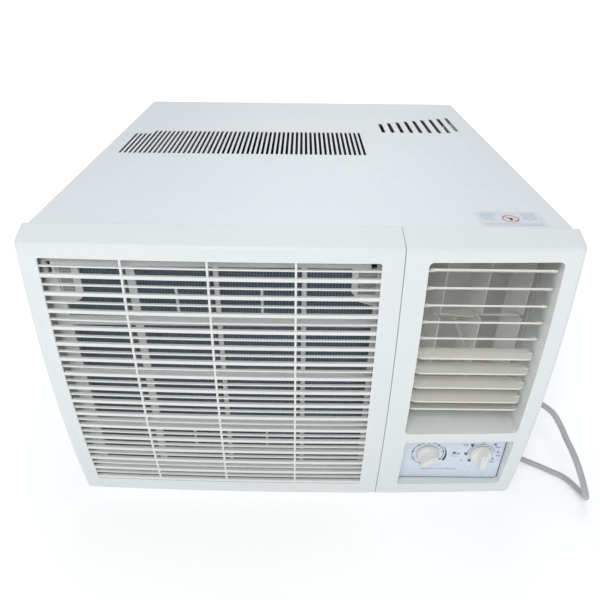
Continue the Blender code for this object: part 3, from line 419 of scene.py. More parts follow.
def plate_material():
    """Printed plate: a soft gradient from pale lavender at the top to pale blue at the bottom."""
    g = Graph("plate_print")
    split = g.node("ShaderNodeSeparateXYZ")
    g.link(g.coords, "Object", split, "Vector")
    height = g.remap(split, "Z", POCKET_Z[0] * MM, POCKET_Z[1] * MM, 0.0, 1.0)
    wash = g.mix((height, "Result"), (0.70, 0.77, 0.88), (0.73, 0.77, 0.84))
    drift = g.noise(22.0, 2.0)
    spot = g.remap(drift, "Fac", 0.3, 0.7, 0.0, 1.0)
    shade = g.mix((spot, "Result"), (0.988, 0.99, 0.994), (1.0, 1.0, 1.0))
    colour = g.mix(1.0, (wash, 2), (shade, 2), "MULTIPLY")
    g.tree.links.new(colour.outputs[2], g.bsdf.inputs["Base Color"])
    patches = g.noise(70.0, 3.0)
    r = g.remap(patches, "Fac", 0.3, 0.7, 0.24, 0.34)
    g.link(r, "Result", g.bsdf, "Roughness")
    fine = g.noise(1600.0)
    bumps = g.node("ShaderNodeBump")
    bumps.inputs["Strength"].default_value = 0.05
    bumps.inputs["Distance"].default_value = 0.00004
    g.link(fine, "Fac", bumps, "Height")
    g.link(bumps, "Normal", g.bsdf, "Normal")
    return g.mat


def net_material():
    """Woven filter net: fine threads with open holes between them."""
    g = Graph("filter_net")
    split = g.node("ShaderNodeSeparateXYZ")
    g.link(g.coords, "Object", split, "Vector")
    threads = []
    for axis, pitch in (("X", 0.0019), ("Z", 0.0021)):
        scaled = g.node("ShaderNodeMath", operation="DIVIDE")
        g.link(split, axis, scaled, 0)
        scaled.inputs[1].default_value = pitch
        fract = g.node("ShaderNodeMath", operation="FRACT")
        g.link(scaled, "Value", fract, 0)
        less = g.node("ShaderNodeMath", operation="LESS_THAN")
        g.link(fract, "Value", less, 0)
        less.inputs[1].default_value = 0.27
        threads.append(less)
    either = g.node("ShaderNodeMath", operation="MAXIMUM")
    g.link(threads[0], "Value", either, 0)
    g.link(threads[1], "Value", either, 1)
    drift = g.noise(30.0, 3.0)
    spot = g.remap(drift, "Fac", 0.3, 0.7, 0.0, 1.0)
    colour = g.mix((spot, "Result"), (0.10, 0.13, 0.17), (0.15, 0.18, 0.22))
    g.tree.links.new(colour.outputs[2], g.bsdf.inputs["Base Color"])
    r = g.remap(drift, "Fac", 0.3, 0.7, 0.5, 0.7)
    g.link(r, "Result", g.bsdf, "Roughness")
    g.link(either, "Value", g.bsdf, "Alpha")
    return g.mat


def fin_material(name, light, dark, pitch, rough=0.4, metal=0.7, bent=0.0012):
    """Edges of thin fins: light metal with painted shade in the gaps between them, a little bent here and there."""
    g = Graph(name)
    split = g.node("ShaderNodeSeparateXYZ")
    g.link(g.coords, "Object", split, "Vector")
    sway = g.noise(9.0, 3.0)
    swayed = g.node("ShaderNodeMath", operation="MULTIPLY_ADD")
    g.link(sway, "Fac", swayed, 0)
    swayed.inputs[1].default_value = bent
    g.link(split, "X", swayed, 2)
    scaled = g.node("ShaderNodeMath", operation="DIVIDE")
    g.link(swayed, "Value", scaled, 0)
    scaled.inputs[1].default_value = pitch
    fract = g.node("ShaderNodeMath", operation="PINGPONG")
    g.link(scaled, "Value", fract, 0)
    fract.inputs[1].default_value = 0.5
    # This mask paints shade into the gaps between the fins: the second colour given is that painted shade, the first
    # the fins' own metal.
    painted_gap_shade_mask = g.remap(fract, "Value", 0.1, 0.4, 0.0, 1.0)
    colour = g.mix((painted_gap_shade_mask, "Result"), dark, light)
    stain = g.noise(14.0, 4.0)
    spot = g.remap(stain, "Fac", 0.35, 0.65, 0.0, 1.0)
    shade = g.mix((spot, "Result"), (0.86, 0.88, 0.90), (1.0, 1.0, 1.0))
    product = g.mix(1.0, (colour, 2), (shade, 2), "MULTIPLY")
    g.tree.links.new(product.outputs[2], g.bsdf.inputs["Base Color"])
    r = g.remap(stain, "Fac", 0.3, 0.7, rough - 0.08, rough + 0.1)
    g.link(r, "Result", g.bsdf, "Roughness")
    bumps = g.node("ShaderNodeBump")
    bumps.inputs["Strength"].default_value = 0.5
    bumps.inputs["Distance"].default_value = 0.0006
    g.link(fract, "Value", bumps, "Height")
    g.link(bumps, "Normal", g.bsdf, "Normal")
    g.bsdf.inputs["Metallic"].default_value = metal
    return g.mat


PLATE = plate_material()
NET = net_material()
# The second colour of each fin finish is painted shade for the gaps between the fins.
COOL_FINS = fin_material("evaporator_fins", (0.30, 0.38, 0.46), (0.07, 0.11, 0.15), 0.0040, metal=0.2)
WARM_FINS = fin_material("condenser_fins", (0.62, 0.64, 0.66), (0.36, 0.37, 0.38), 0.0022, bent=0.0002)

# ---------------------------------------------------------------- mains cord
EXIT = (CABINET_HALF, 84.0, 112.0)
RELIEF, COIL, COIL_MID, FLOOR_Z = 34.0, (398.0, 340.0), 50.0, CORD_D / 2.0 + 0.05
LANE_X = COIL[0] - COIL_MID - CORD_D / 2.0
ROUTE = [
    (EXIT[0] + RELIEF + 0.3, 84.0, 112.0), (EXIT[0] + RELIEF + 3.0, 84.0, 112.0), (EXIT[0] + RELIEF + 10.0, 84.0, 111.8), (384.8, 81.8, 109.7), (402.1, 71.9, 100.0),
    (410.7, 54.8, 88.8), (411.8, 33.2, 83.5), (410.0, 10.8, 85.0), (409.9, -11.1, 81.2), (413.7, -28.3, 67.5),
    (421.0, -35.4, 47.8), (430.2, -30.1, 28.3), (437.5, -15.0, 13.6), (437.1, 5.7, 5.6), (426.7, 25.3, FLOOR_Z),
    (408.7, 38.6, FLOOR_Z), (389.8, 50.8, FLOOR_Z), (370.7, 62.8, FLOOR_Z), (355.4, 79.0, FLOOR_Z), (348.3, 100.2, FLOOR_Z),
    (345.6, 122.5, FLOOR_Z), (344.4, 145.0, FLOOR_Z),
    (LANE_X, 190.0, FLOOR_Z),
    (LANE_X, 250.0, FLOOR_Z), (LANE_X, COIL[1] - 32.0, FLOOR_Z),
]


def ease(t):
    t = min(1.0, max(0.0, t))
    return t * t * (3.0 - 2.0 * t)


def coil_points():
    """Three and an eighth turns, clockwise from above: outer low, inner low, inner high, outer high."""
    out = []
    total = 360 * 3 + 45
    for a in range(0, total + 1, 15):
        inward = ease((a - 300.0) / 90.0) - ease((a - 1000.0) / 90.0)
        lift = ease((a - 660.0) / 90.0)
        r = COIL_MID + CORD_D * (0.5 - inward) + 0.02
        z = FLOOR_Z + (CORD_D + 0.05) * lift
        t = math.radians(180.0 - a)
        out.append((COIL[0] + r * math.cos(t), COIL[1] + r * math.sin(t), z))
    return out


slant = math.sqrt(0.5)
outer_r = COIL_MID + CORD_D
clear = math.sqrt(outer_r**2 - COIL_MID**2) + 1.0
reach = COIL_MID + CORD_D / 2.0
PLUG_AT = Vector((COIL[0] - slant * reach + slant * clear, COIL[1] + slant * reach + slant * clear, 14.2))
turns = coil_points()
tail = [tuple(PLUG_AT + Vector((-slant, -slant, 0.0)) * d) for d in (clear * 0.55, clear * 0.2)] + [tuple(PLUG_AT + Vector((slant, slant, 0.0)) * 2.0)]
line = smooth_path(ROUTE + turns + tail, 5)
curve = bpy.data.curves.new("mains_cord", "CURVE")
curve.dimensions = "3D"
curve.bevel_depth, curve.bevel_resolution, curve.use_fill_caps = CORD_D / 2.0 * MM, 8, True
spline = curve.splines.new("POLY")
spline.points.add(len(line) - 1)
for point, place in zip(spline.points, line):
    point.co = (*P(*place), 1.0)
spline.use_smooth = True
cord = bpy.data.objects.new("mains_cord", curve)
bpy.context.scene.collection.objects.link(cord)
piece(cord, CORD, "root", ("power_cord", "cord_coil"))

relief_profile = [(0.0, EXIT[0] - 7.5), (8.4, EXIT[0] - 7.5), (8.4, EXIT[0] + 0.4), (11.2, EXIT[0] + 0.4), (11.5, EXIT[0] + 1.0), (11.5, EXIT[0] + 3.6), (10.9, EXIT[0] + 4.2)]
for k in range(6):
    x0 = EXIT[0] + 5.2 + 4.4 * k
    r = 8.2 - 0.42 * k
    relief_profile += [(r - 1.2, x0), (r - 1.2, x0 + 1.1), (r, x0 + 1.5), (r - 0.1, x0 + 3.7), (r - 0.4, x0 + 4.2)]
relief_profile += [(5.5, EXIT[0] + RELIEF - 1.6), (5.2, EXIT[0] + RELIEF), (0.0, EXIT[0] + RELIEF)]
relief = raw("strain_relief", turned(bmesh.new(), relief_profile, EXIT[1:], "x", 32))
piece(relief, CORD, "root", ("cord_strain_relief",), angle=40)

tie_x = (COIL[0] + COIL_MID - CORD_D - 2.0, COIL[0] + COIL_MID + CORD_D + 1.2)
strap = bmesh.new()
loop = rounded((tie_x[0] - 0.6, tie_x[1] + 0.6), (0.1, 19.9), 4.0, 6)
inner_loop = rounded((tie_x[0] + 0.6, tie_x[1] - 0.6), (1.3, 18.8), 3.2, 6)
for y0, y1 in ((COIL[1] - 3.4, COIL[1] + 3.4),):
    a = [strap.verts.new((x, y0, z)) for x, z in loop]
    b = [strap.verts.new((x, y1, z)) for x, z in loop]
    c = [strap.verts.new((x, y0, z)) for x, z in inner_loop]
    d = [strap.verts.new((x, y1, z)) for x, z in inner_loop]
    for i in range(len(a)):
        j = (i + 1) % len(a)
        for q in ((a[i], a[j], b[j], b[i]), (c[j], c[i], d[i], d[j]), (a[j], a[i], c[i], c[j]), (b[i], b[j], d[j], d[i])):
            strap.faces.new(q)
piece(raw("cord_strap", strap), BLACK_PLASTIC, "root", ("cord_tie",))

plug_bm = turned(bmesh.new(), [(0.0, 0.0), (5.2, 0.0), (5.6, 1.0), (5.6, 3.5), (6.4, 4.0), (6.4, 7.0), (5.9, 7.6), (5.9, 9.6), (7.0, 10.2), (7.0, 13.4), (6.5, 14.0), (6.5, 16.0), (7.8, 17.0), (8.0, 24.0), (8.0, 30.0), (0.0, 30.0)], (0.0, 0.0), "x", 28)
barrel = bmesh.new()
sections = []
for x, w, h in ((24.0, 0.70, 0.84), (26.0, 0.74, 0.88), (30.0, 0.82, 0.93), (36.0, 0.92, 0.98), (44.0, 1.0, 1.0), (57.0, 1.0, 1.0), (59.4, 0.985, 0.98), (60.0, 0.95, 0.94)):
    sections.append([barrel.verts.new((x, a * w, b * h)) for a, b in rounded((-18.8, 18.8), (-13.6, 14.3), 6.0, 5)])
for low, high in zip(sections, sections[1:]):
    for i in range(len(low)):
        j = (i + 1) % len(low)
        barrel.faces.new((low[i], low[j], high[j], high[i]))
barrel.faces.new(sections[0][::-1])
barrel.faces.new(sections[-1])


def at_plug(bm):
    bmesh.ops.rotate(bm, verts=bm.verts, cent=(0, 0, 0), matrix=Matrix.Rotation(math.radians(45.0), 3, "Z"))
    bmesh.ops.translate(bm, verts=bm.verts, vec=PLUG_AT)
    return bm


plug = raw("plug_body", at_plug(plug_bm))
fuse(plug, at_plug(barrel))
pins_bm = turned(bmesh.new(), [(0.0, 56.0), (3.6, 56.0), (3.6, 78.4), (3.0, 79.6), (0.0, 80.0)], (0.0, 8.5), "x", 20)
for y in (-9.5, 9.5):
    turned(pins_bm, [(0.0, 56.0), (2.6, 56.0), (2.6, 74.6), (2.0, 75.7), (0.0, 76.0)], (y, -5.0), "x", 20)
pins = raw("plug_pins", at_plug(pins_bm))
piece(plug, BLACK_PLASTIC, "root", ("mains_plug",), angle=40)
piece(pins, STEEL, "root")

# ---------------------------------------------------------------- cabinet
def cabinet_outline(grow=0.0, r=9.0, n=10, foot=9.0):
    w, h, t = CABINET_HALF + grow, TOP_Z + grow, CABINET_T
    outer = [(-w, foot)] + circle(-w + r, h - r, r, n, 180, -90) + circle(w - r, h - r, r, n, 90, -90) + [(w, foot)]
    inner = [(w - t, foot)] + circle(w - r, h - r, r - t, n, 0, 90) + circle(-w + r, h - r, r - t, n, 90, 90) + [(-w + t, foot)]
    return outer + inner


def slot_shape(bm, x, y0, y1, width, n=6):
    r = width / 2.0
    prism(bm, circle(x, y0 + r, r, n, 180, 180) + circle(x, y1 - r, r, n, 0, 180), TOP_Z - 12.0, TOP_Z + 6.0, "z")


cabinet = raw("cabinet_shell", prism(bmesh.new(), cabinet_outline(), SEAM_Y + 0.3, REAR_Y, "y"))
vents = bmesh.new()
for k in range(MAIN_SLOTS):
    slot_shape(vents, MAIN_X0 + k * MAIN_PITCH, 305.5, 438.0 - (17.5 if k < 4 else 0.0), 4.3)
for k in range(SIDE_SLOTS):
    slot_shape(vents, SIDE_X0 + k * SIDE_PITCH, 440.0 + (12.0 if k == SIDE_SLOTS - 1 else 0.0), 503.0 + 49.0 * k / (SIDE_SLOTS - 1), 7.0)
cut(cabinet, vents)
holes = bmesh.new()
for y0 in (340.0, 450.0):
    for k in range(8):
        prism(holes, rounded((y0, y0 + 90.0), (100.0 + 34.0 * k, 109.0 + 34.0 * k), 2.0, 3), -CABINET_HALF - 6, CABINET_HALF + 6, "x")
cut(cabinet, holes)
cut(cabinet, cylinder(bmesh.new(), (84.0, 112.0), 9.0, CABINET_HALF - 10, CABINET_HALF + 10, "x", 32))
soften(cabinet, 0.35, 2, 50, clamp=True)
piece(cabinet, SHEET, "root", ("outer_cabinet",))

hoods = bmesh.new()
for side in (-1, 1):
    for y0 in (340.0, 450.0):
        for k in range(8):
            z0 = 108.6 + 34.0 * k
            skins = []
            for t in (0.0, 0.9):
                rows = []
                for i in range(7):
                    a = math.radians(90.0 * i / 6)
                    out = (4.2 - t) * math.sin(a) if i else 0.0
                    z = z0 + 1.2 - (9.0 - t) * (1 - math.cos(a)) * 0.8 - t * (i == 0)
                    rows.append([hoods.verts.new((side * (CABINET_HALF - 0.9 + out), y, z)) for y in (y0 - 1.0, y0 + 5.0, y0 + 85.0, y0 + 91.0)])
                skins.append(rows)
            for rows, flip in ((skins[0], False), (skins[1], True)):
                for low, high in zip(rows, rows[1:]):
                    for i in range(3):
                        quad = (low[i], low[i + 1], high[i + 1], high[i])
                        hoods.faces.new(quad[::-1] if flip else quad)
            ring0 = [r[0] for r in skins[0]] + skins[0][-1][1:] + [r[-1] for r in skins[0][-2::-1]]
            ring1 = [r[0] for r in skins[1]] + skins[1][-1][1:] + [r[-1] for r in skins[1][-2::-1]]
            ring0 += skins[0][0][-2:0:-1]
            ring1 += skins[1][0][-2:0:-1]
            for i in range(len(ring0)):
                j = (i + 1) % len(ring0)
                hoods.faces.new((ring0[i], ring0[j], ring1[j], ring1[i]))
piece(raw("side_vent_hoods", hoods), SHEET, "root")

flange = bmesh.new()
w, t = CABINET_HALF - CABINET_T - 0.05, CABINET_T
outer = rounded((-w, w), (43.5, TOP_Z - t - 0.05), 7.6, 6)
inner = rounded((-w + 11.0, w - 11.0), (46.0, TOP_Z - t - 12.0), 5.0, 6)
rings = []
for y, shape in ((REAR_Y - 1.2, outer), (REAR_Y, outer), (REAR_Y, inner), (REAR_Y - 1.2, inner)):
    rings.append([flange.verts.new((x, y, z)) for x, z in shape])
for a, b in zip(rings, rings[1:] + rings[:1]):
    for i in range(len(a)):
        j = (i + 1) % len(a)
        flange.faces.new((a[i], a[j], b[j], b[i]))
piece(raw("rear_flange", flange), SHEET, "root")

# ---------------------------------------------------------------- fixed front panel
ZS = [0.5, 0.9, 1.6, 2.6, 4.0, 5.5] + spread(5.5, CREASE_Z, 30)[1:]
ZS_IN = spread(0.5 + SHELL, CREASE_Z - 1.6, 16)
EDGE = HALF_WIDTH - CORNER_R


def corner_stations(side, n=9):
    xs = [side * (EDGE + CORNER_R * math.sin(math.radians(90.0 * i / n))) for i in range(n + 1)]
    return xs if side > 0 else xs[::-1]


def split_edges(bm, x, back):
    """Upright front edges along the split, ready to round."""
    return [e for e in bm.edges if all(abs(v.co.x - x) < 0.01 and v.co.y < back - 1.0 for v in e.verts) and abs(e.verts[0].co.z - e.verts[1].co.z) > 0.05]


left_edge = SPLIT_X + SPLIT_GAP / 2
right_xs = [left_edge] + spread(128.0, 314.0, 18) + corner_stations(1)
skin = face_block(bmesh.new(), right_xs, ZS, 0.0, back=SEAM_Y, back_top=TOP_Z, lip=5.0, crease=4.0)
bmesh.ops.bevel(skin, geom=split_edges(skin, left_edge, SEAM_Y), offset=0.9, segments=3, profile=0.5, affect="EDGES")
panel = raw("panel_shell", skin)
cut(panel, face_block(bmesh.new(), [left_edge + SHELL] + spread(146.0, 308.0, 6) + [HALF_WIDTH - SHELL], ZS_IN, SHELL, back=SEAM_Y + 8.0, back_top=TOP_Z - SHELL + 1.2))
inner_frame = bmesh.new()
face_block(inner_frame, spread(DUCT_X[0] - 2, DUCT_X[1] + 2, 6), spread(DUCT_Z[0] - 2, DUCT_Z[1] + 2, 8), 1.0, back=TUNNEL_REAR)
face_block(inner_frame, spread(POCKET_X[0] - 2, POCKET_X[1] + 2, 6), spread(POCKET_Z[0] - 2, POCKET_Z[1] + 2, 4), 1.0, back=11.7)
fuse(panel, inner_frame)
openings = bmesh.new()
prism(openings, rounded(DUCT_X, DUCT_Z, 6.0), -60.0, 80.0, "y")
prism(openings, rounded(POCKET_X, POCKET_Z, 5.0), -60.0, 6.7, "y")
cut(panel, openings)
bores = bmesh.new()
for k in range(BLADES):
    cylinder(bores, (BLADE_Y, blade_z(k)), 2.6, DUCT_X[1] - 1.0, DUCT_X[1] + 1.5, "x", 16)
cut(panel, bores)
soften(panel, 0.9, 3, 50, clamp=True)
piece(panel, PANEL, "root", ("front_panel",), angle=30)
RING_Y = (24.7, 33.7)
ring = boxes(((-327.0, 119.0), RING_Y, (INTAKE_Z[1] + 2, 429.0)), ((-327.0, 119.0), RING_Y, (4.0, INTAKE_Z[0] - 2)), ((-327.0, -309.0), (24.8, 33.6), (10.0, 420.0)), ((98.0, 121.5), (24.8, 33.6), (10.0, 420.0)))
piece(soften(raw("panel_rear_ring", ring), 0.5), PANEL, "root")

# ---------------------------------------------------------------- intake door
door_edge = SPLIT_X - SPLIT_GAP / 2
left_xs = corner_stations(-1) + spread(-314.0, 112.0, 30) + [door_edge]
skin = face_block(bmesh.new(), left_xs, ZS, 0.0, back=SEAM_Y, back_top=TOP_Z, lip=5.0, crease=4.0)
bmesh.ops.bevel(skin, geom=split_edges(skin, door_edge, SEAM_Y), offset=0.9, segments=3, profile=0.5, affect="EDGES")
door = raw("door_shell", skin)
cut(door, face_block(bmesh.new(), [-HALF_WIDTH + SHELL] + spread(-312.0, 108.0, 14) + [door_edge - SHELL], ZS_IN, SHELL, back=SEAM_Y + 8.0, back_top=TOP_Z - SHELL + 1.2))
cut(door, prism(bmesh.new(), rounded(INTAKE_X, INTAKE_Z, 3.0, 5), -60.0, 60.0, "y"))
cut(door, boxes(((110.0, 125.0), (RING_Y[0] - 0.7, 60.0), (-5.0, 429.6))))
soften(door, 0.8, 3, 50, clamp=True)
piece(door, DOOR, "intake_door", ("intake_grille",), angle=30)

bar_xs = [INTAKE_X[0] - 1.6] + spread(INTAKE_X[0], INTAKE_X[1], 24) + [INTAKE_X[1] + 1.6]


def bar(bm, xs, z, tall, front, deep, taper):
    """A grille bar that follows the face: its rear is thinner than its front."""
    shape = ((0.0, -tall / 2), (0.0, tall / 2), (deep, tall / 2 - taper), (deep, -tall / 2 + taper))
    rings = [[bm.verts.new((x, face_y(x, z) + front + dy, z + dz)) for dy, dz in shape] for x in xs]
    for a, b in zip(rings, rings[1:]):
        for i in range(4):
            j = (i + 1) % 4
            bm.faces.new((a[i], a[j], b[j], b[i]))
    bm.faces.new(rings[0][::-1])
    bm.faces.new(rings[-1])
    return bm


thick = bmesh.new()
for k in range(BARS):
    bar(thick, bar_xs, BAR_TOP_Z - BAR_PITCH * k, BAR_T, 0.4, 5.0, 0.5)
piece(soften(raw("grille_bars", thick), 0.6, 3, 40), BAR, "intake_door")
thin = bmesh.new()
for k in range(-1, BARS - 1):
    bar(thin, bar_xs, BAR_TOP_Z - BAR_PITCH * (k + 0.5), 2.0, 1.0, 4.0, 0.2)
piece(soften(raw("grille_thin_bars", thin), 0.4, 2, 40), BAR, "intake_door")
ribs = bmesh.new()
for x in RIB_X:
    face_block(ribs, (x - 1.4, x + 1.4), spread(INTAKE_Z[0] - 1.0, INTAKE_Z[1] + 1.0, 24), 1.4, depth=4.2)
piece(soften(raw("grille_ribs", ribs), 0.4, 2, 40), BAR, "intake_door")

# ---------------------------------------------------------------- filter
FILTER_Y, FILTER_X, FILTER_Z = (6.0, 11.0), (-306.0, 97.0), (25.0, 413.0)
outline = [(FILTER_X[0], FILTER_Z[0]), (FILTER_X[1], FILTER_Z[0]), (FILTER_X[1], FILTER_Z[1]), (FILTER_X[0], FILTER_Z[1])]
columns = (-288.0, -208.0, -198.0, -104.0, -98.0, 2.0, 8.0, 90.5)
rows = (60.0, 75.0, 86.0, 129.0, 146.0, 225.0, 237.0, 309.0, 323.0, 394.0)
filter_frame = raw("filter_frame", prism(bmesh.new(), outline, *FILTER_Y, "y"))
panes, net = bmesh.new(), bmesh.new()
for x0, x1 in zip(columns[::2], columns[1::2]):
    for z0, z1 in zip(rows[::2], rows[1::2]):
        shape = rounded((x0, x1), (z0, z1), 1.5, 3)
        if z1 > 390.0 and x0 < -270.0:
            shape = [(x0, z0), (x1, z0), (x1, z1)] + circle(-279.0, 358.5, 15.0, 8, 0, -90) + [(x0, 343.5)]
            shape[3:3] = [(-264.0, z1)]
        elif z1 > 390.0 and x1 > 80.0:
            shape = [(x0, z0), (x1, z0), (x1, 341.5), (73.0, 347.0), (62.0, 362.0), (62.0, z1), (x0, z1)]
        prism(panes, shape, 0.0, 20.0, "y")
        if x1 - x0 > 1.0:
            net.faces.new([net.verts.new((x, 8.5, z)) for x, z in ((x0 - 1, z0 - 1), (x1 + 1, z0 - 1), (x1 + 1, z1 + (1 if z1 < 400 else 0)), (x0 - 1, z1 + (1 if z1 < 400 else 0)))])
cut(filter_frame, panes)
pockets = boxes(((-291.0, -273.0), (0.0, 9.4), (351.0, 392.0)), ((70.0, 92.0), (0.0, 9.4), (358.0, 392.0)), ((-300.5, -295.5), (0.0, 20.0), (383.0, 400.0)), ((84.0, 91.0), (0.0, 20.0), (393.5, 402.0)))
cut(filter_frame, pockets)
soften(filter_frame, 0.5, 2, 40)
stubs = boxes(*[((x - 1.8, x + 1.8), (6.3, 9.5), z) for x in (-151.0, -46.5) for z in ((322.0, 364.0), (93.0, 131.0))])
piece(filter_frame, FRAME_GREY, "intake_door", ("air_filter",))
piece(soften(raw("filter_stubs", stubs), 0.4, 2, 40), FRAME_GREY, "intake_door")
tabs = boxes(((-290.7, -273.3), (9.0, 9.9), (351.3, 391.7)), ((70.3, 91.7), (9.0, 9.9), (358.3, 391.7)))
piece(soften(raw("filter_tabs", tabs), 0.2), IVORY, "intake_door")
piece(raw("filter_net", net), NET, "intake_door")

# ---------------------------------------------------------------- discharge blades
def blade_mesh():
    x0, x1 = BLADE_X
    bm = bmesh.new()
    front = circle(x0 + 9.5, -3.0, 9.5, 12, 180, 90) + circle(x1 - 9.5, -3.0, 9.5, 12, 270, 90)
    prism(bm, front + [(x1, 9.5), (x1 - 2.0, 11.5), (x0 + 2.0, 11.5), (x0, 9.5)], -1.15, 1.15, "z")
    rims = [e for e in bm.edges if abs(e.verts[0].co.z - e.verts[1].co.z) < 1e-4]
    bmesh.ops.bevel(bm, geom=rims, offset=0.55, segments=3, profile=0.6, affect="EDGES")
    return bm


for k in range(BLADES):
    bm = blade_mesh()
    turned(bm, [(0.0, x0 := BLADE_X[0] - 2.2), (1.35, x0), (1.35, BLADE_X[0] + 0.4), (2.3, BLADE_X[0] + 0.8), (2.3, BLADE_X[0] + 8.6), (1.9, BLADE_X[0] + 9.4), (0.0, BLADE_X[0] + 9.4)], (0.0, 0.0), "x", 20)
    turned(bm, [(0.0, BLADE_X[1] - 5.2), (1.7, BLADE_X[1] - 5.2), (2.0, BLADE_X[1] - 4.8), (2.0, BLADE_X[1] + 0.6), (1.3, BLADE_X[1] + 0.8), (1.3, BLADE_X[1] + 4.0), (0.0, BLADE_X[1] + 4.0)], (0.0, 0.0), "x", 20)
    bmesh.ops.rotate(bm, verts=bm.verts, cent=(0, 0, 0), matrix=Matrix.Rotation(math.radians(BLADE_TILT[k]), 3, "X"))
    bmesh.ops.translate(bm, verts=bm.verts, vec=(0.0, BLADE_Y, blade_z(k)))
    piece(raw(f"blade_{k + 1:02d}_fine", bm), IVORY, f"blade_{k + 1:02d}", (f"louvre_blade_{k + 1:02d}",), angle=40)

comb = raw("pivot_comb", boxes(((148.2, 150.3), (BLADE_Y - 5.0, BLADE_Y + 5.0), (DUCT_Z[0] + 8, DUCT_Z[1] - 8))))
holes = bmesh.new()
for k in range(BLADES):
    cylinder(holes, (BLADE_Y, blade_z(k)), 1.8, 146.0, 153.0, "x", 16)
cut(comb, holes)
soften(comb, 0.4, 2, 40)
piece(comb, IVORY, "root", ("louvre_pivot_comb",))

# ---------------------------------------------------------------- vanes
half = VANE_CHORD / 2.0
for k, x in enumerate(VANE_X):
    bm = boxes(((-0.9, 0.9), (-half, half), (DUCT_Z[0] + 2.0, DUCT_Z[1] - 2.0)))
    vane = raw(f"vane_{k + 1}_fine", bm)
    cut(vane, boxes(((-5.0, 5.0), (-half - 5.0, -8.6), (LINK_Z - 2.4, LINK_Z + 2.4))))
    soften(vane, 0.6, 3, 40)
    bm = bmesh.new()
    bm.from_mesh(vane.data)
    mesh, old = vane.data, vane
    for v in bm.verts:
        v.co = Vector((v.co.x / MM, v.co.y / MM + CENTRE_Y, v.co.z / MM))
    for z0, z1 in ((DUCT_Z[0] - 1.6, DUCT_Z[0] + 9.0), (DUCT_Z[1] - 9.0, DUCT_Z[1] + 1.6)):
        cylinder(bm, (0.0, 0.0), 1.4, z0, z1, "z", 16)
    bmesh.ops.rotate(bm, verts=bm.verts, cent=(0, 0, 0), matrix=Matrix.Rotation(math.radians(VANE_REST), 3, "Z"))
    bmesh.ops.translate(bm, verts=bm.verts, vec=(x, VANE_Y, 0.0))
    bpy.data.objects.remove(old, do_unlink=True)
    bpy.data.meshes.remove(mesh)
    piece(raw(f"vane_{k + 1}_fine", bm), VANE, f"vane_{k + 1}", (f"vane_{k + 1}",), angle=40)

# ---------------------------------------------------------------- duct behind the vanes
def bend(cx, cy, rx, ry, n):
    return [(cx - rx * (1 - math.cos(math.radians(90.0 * i / n))), cy + ry * math.sin(math.radians(90.0 * i / n))) for i in range(1, n)]


duct_outer = [(145.0, DUCT_FRONT), (308.5, DUCT_FRONT), (308.5, 150.0)] + bend(308.5, 150.0, 100.0, 82.0, 14) + [(208.5, 232.0), (145.0, 240.0)]
duct_inner = [(100.0, 91.0), (147.5, 91.0), (147.5, DUCT_FRONT - 5), (306.0, DUCT_FRONT - 5), (306.0, 150.0)] + bend(306.0, 150.0, 98.0, 79.5, 14) + [(208.0, 229.5), (100.0, 237.5)]
duct = raw("discharge_duct", prism(bmesh.new(), duct_outer, DUCT_Z[0] - 2.5, DUCT_Z[1] + 2.5, "z"))
cut(duct, prism(bmesh.new(), duct_inner, *DUCT_Z, "z"))
soften(duct, 0.5, 2, 50)
piece(duct, DUCT, "root", ("air_duct",))

# ---------------------------------------------------------------- coils
def fin_stack(name, low, high, pitch, thick, proud, material, replaced):
    """A coil: a core with many thin upright fins that stand a little proud of it, front and back."""
    bm = boxes(((low.x, high.x), (low.y + proud, high.y - proud), (low.z + 1.0, high.z - 1.0)))
    x = low.x + 0.6
    while x + thick < high.x:
        box(bm, (x, x + thick), (low.y, high.y), (low.z, high.z))
        x += pitch
    return piece(raw(name, bm), material, "root", (replaced,))


fin_stack("evaporator_fins", corner("evaporator_coil", 0), corner("evaporator_coil", 1), 2.0, 0.35, 2.0, COOL_FINS, "evaporator_coil")
fin_stack("condenser_fins", corner("condenser_coil", 0), corner("condenser_coil", 1), 2.2, 0.4, 3.0, WARM_FINS, "condenser_coil")

# ---------------------------------------------------------------- control plate, printed marks and knobs
plate_low, plate_high = corner("control_plate", 0), corner("control_plate", 1)
PLATE_Y = plate_low.y
plate = raw("plate_fine", prism(bmesh.new(), rounded((plate_low.x, plate_high.x), (plate_low.z, plate_high.z), 4.6), plate_low.y, plate_high.y, "y"))
soften(plate, 0.25, 2, 40)
piece(plate, PLATE, "root", ("control_plate",))
KNOB_AT = [middle("thermostat_knob"), middle("mode_knob")]


def knob_centre(name):
    """The skirt is the widest part, so the box's middle in X and Z is off only by the grip."""
    low, high = corner(name, 0), corner(name, 1)
    return (low.x + high.x) / 2.0, (low.z + high.z) / 2.0


def printed(name, material, shapes):
    bm = bmesh.new()
    for shape in shapes:
        prism(bm, shape, PLATE_Y - 0.06, PLATE_Y + 0.02, "y")
    return piece(raw(name, bm), material, "root")


def stroke(x0, z0, x1, z1, w):
    d = Vector((x1 - x0, z1 - z0)).normalized()
    n = Vector((-d.y, d.x)) * (w / 2)
    return [(x0 + n.x, z0 + n.y), (x0 - n.x, z0 - n.y), (x1 - n.x, z1 - n.y), (x1 + n.x, z1 + n.y)]


def arc(cx, cz, r, w, a0, a1, n=24):
    """Short strokes along an arc, since a closed outline holds no hole."""
    out = []
    for i in range(n):
        p, q = (math.radians(a0 + (a1 - a0) * (i + s) / n) for s in (0.0, 1.04))
        out.append([(cx + (r - w / 2) * math.cos(p), cz + (r - w / 2) * math.sin(p)), (cx + (r + w / 2) * math.cos(p), cz + (r + w / 2) * math.sin(p)), (cx + (r + w / 2) * math.cos(q), cz + (r + w / 2) * math.sin(q)), (cx + (r - w / 2) * math.cos(q), cz + (r - w / 2) * math.sin(q))])
    return out


def star(cx, cz, r, w, n):
    return [stroke(cx, cz, cx + r * math.cos(math.radians(360.0 * i / n + 90)), cz + r * math.sin(math.radians(360.0 * i / n + 90)), w) for i in range(n)]


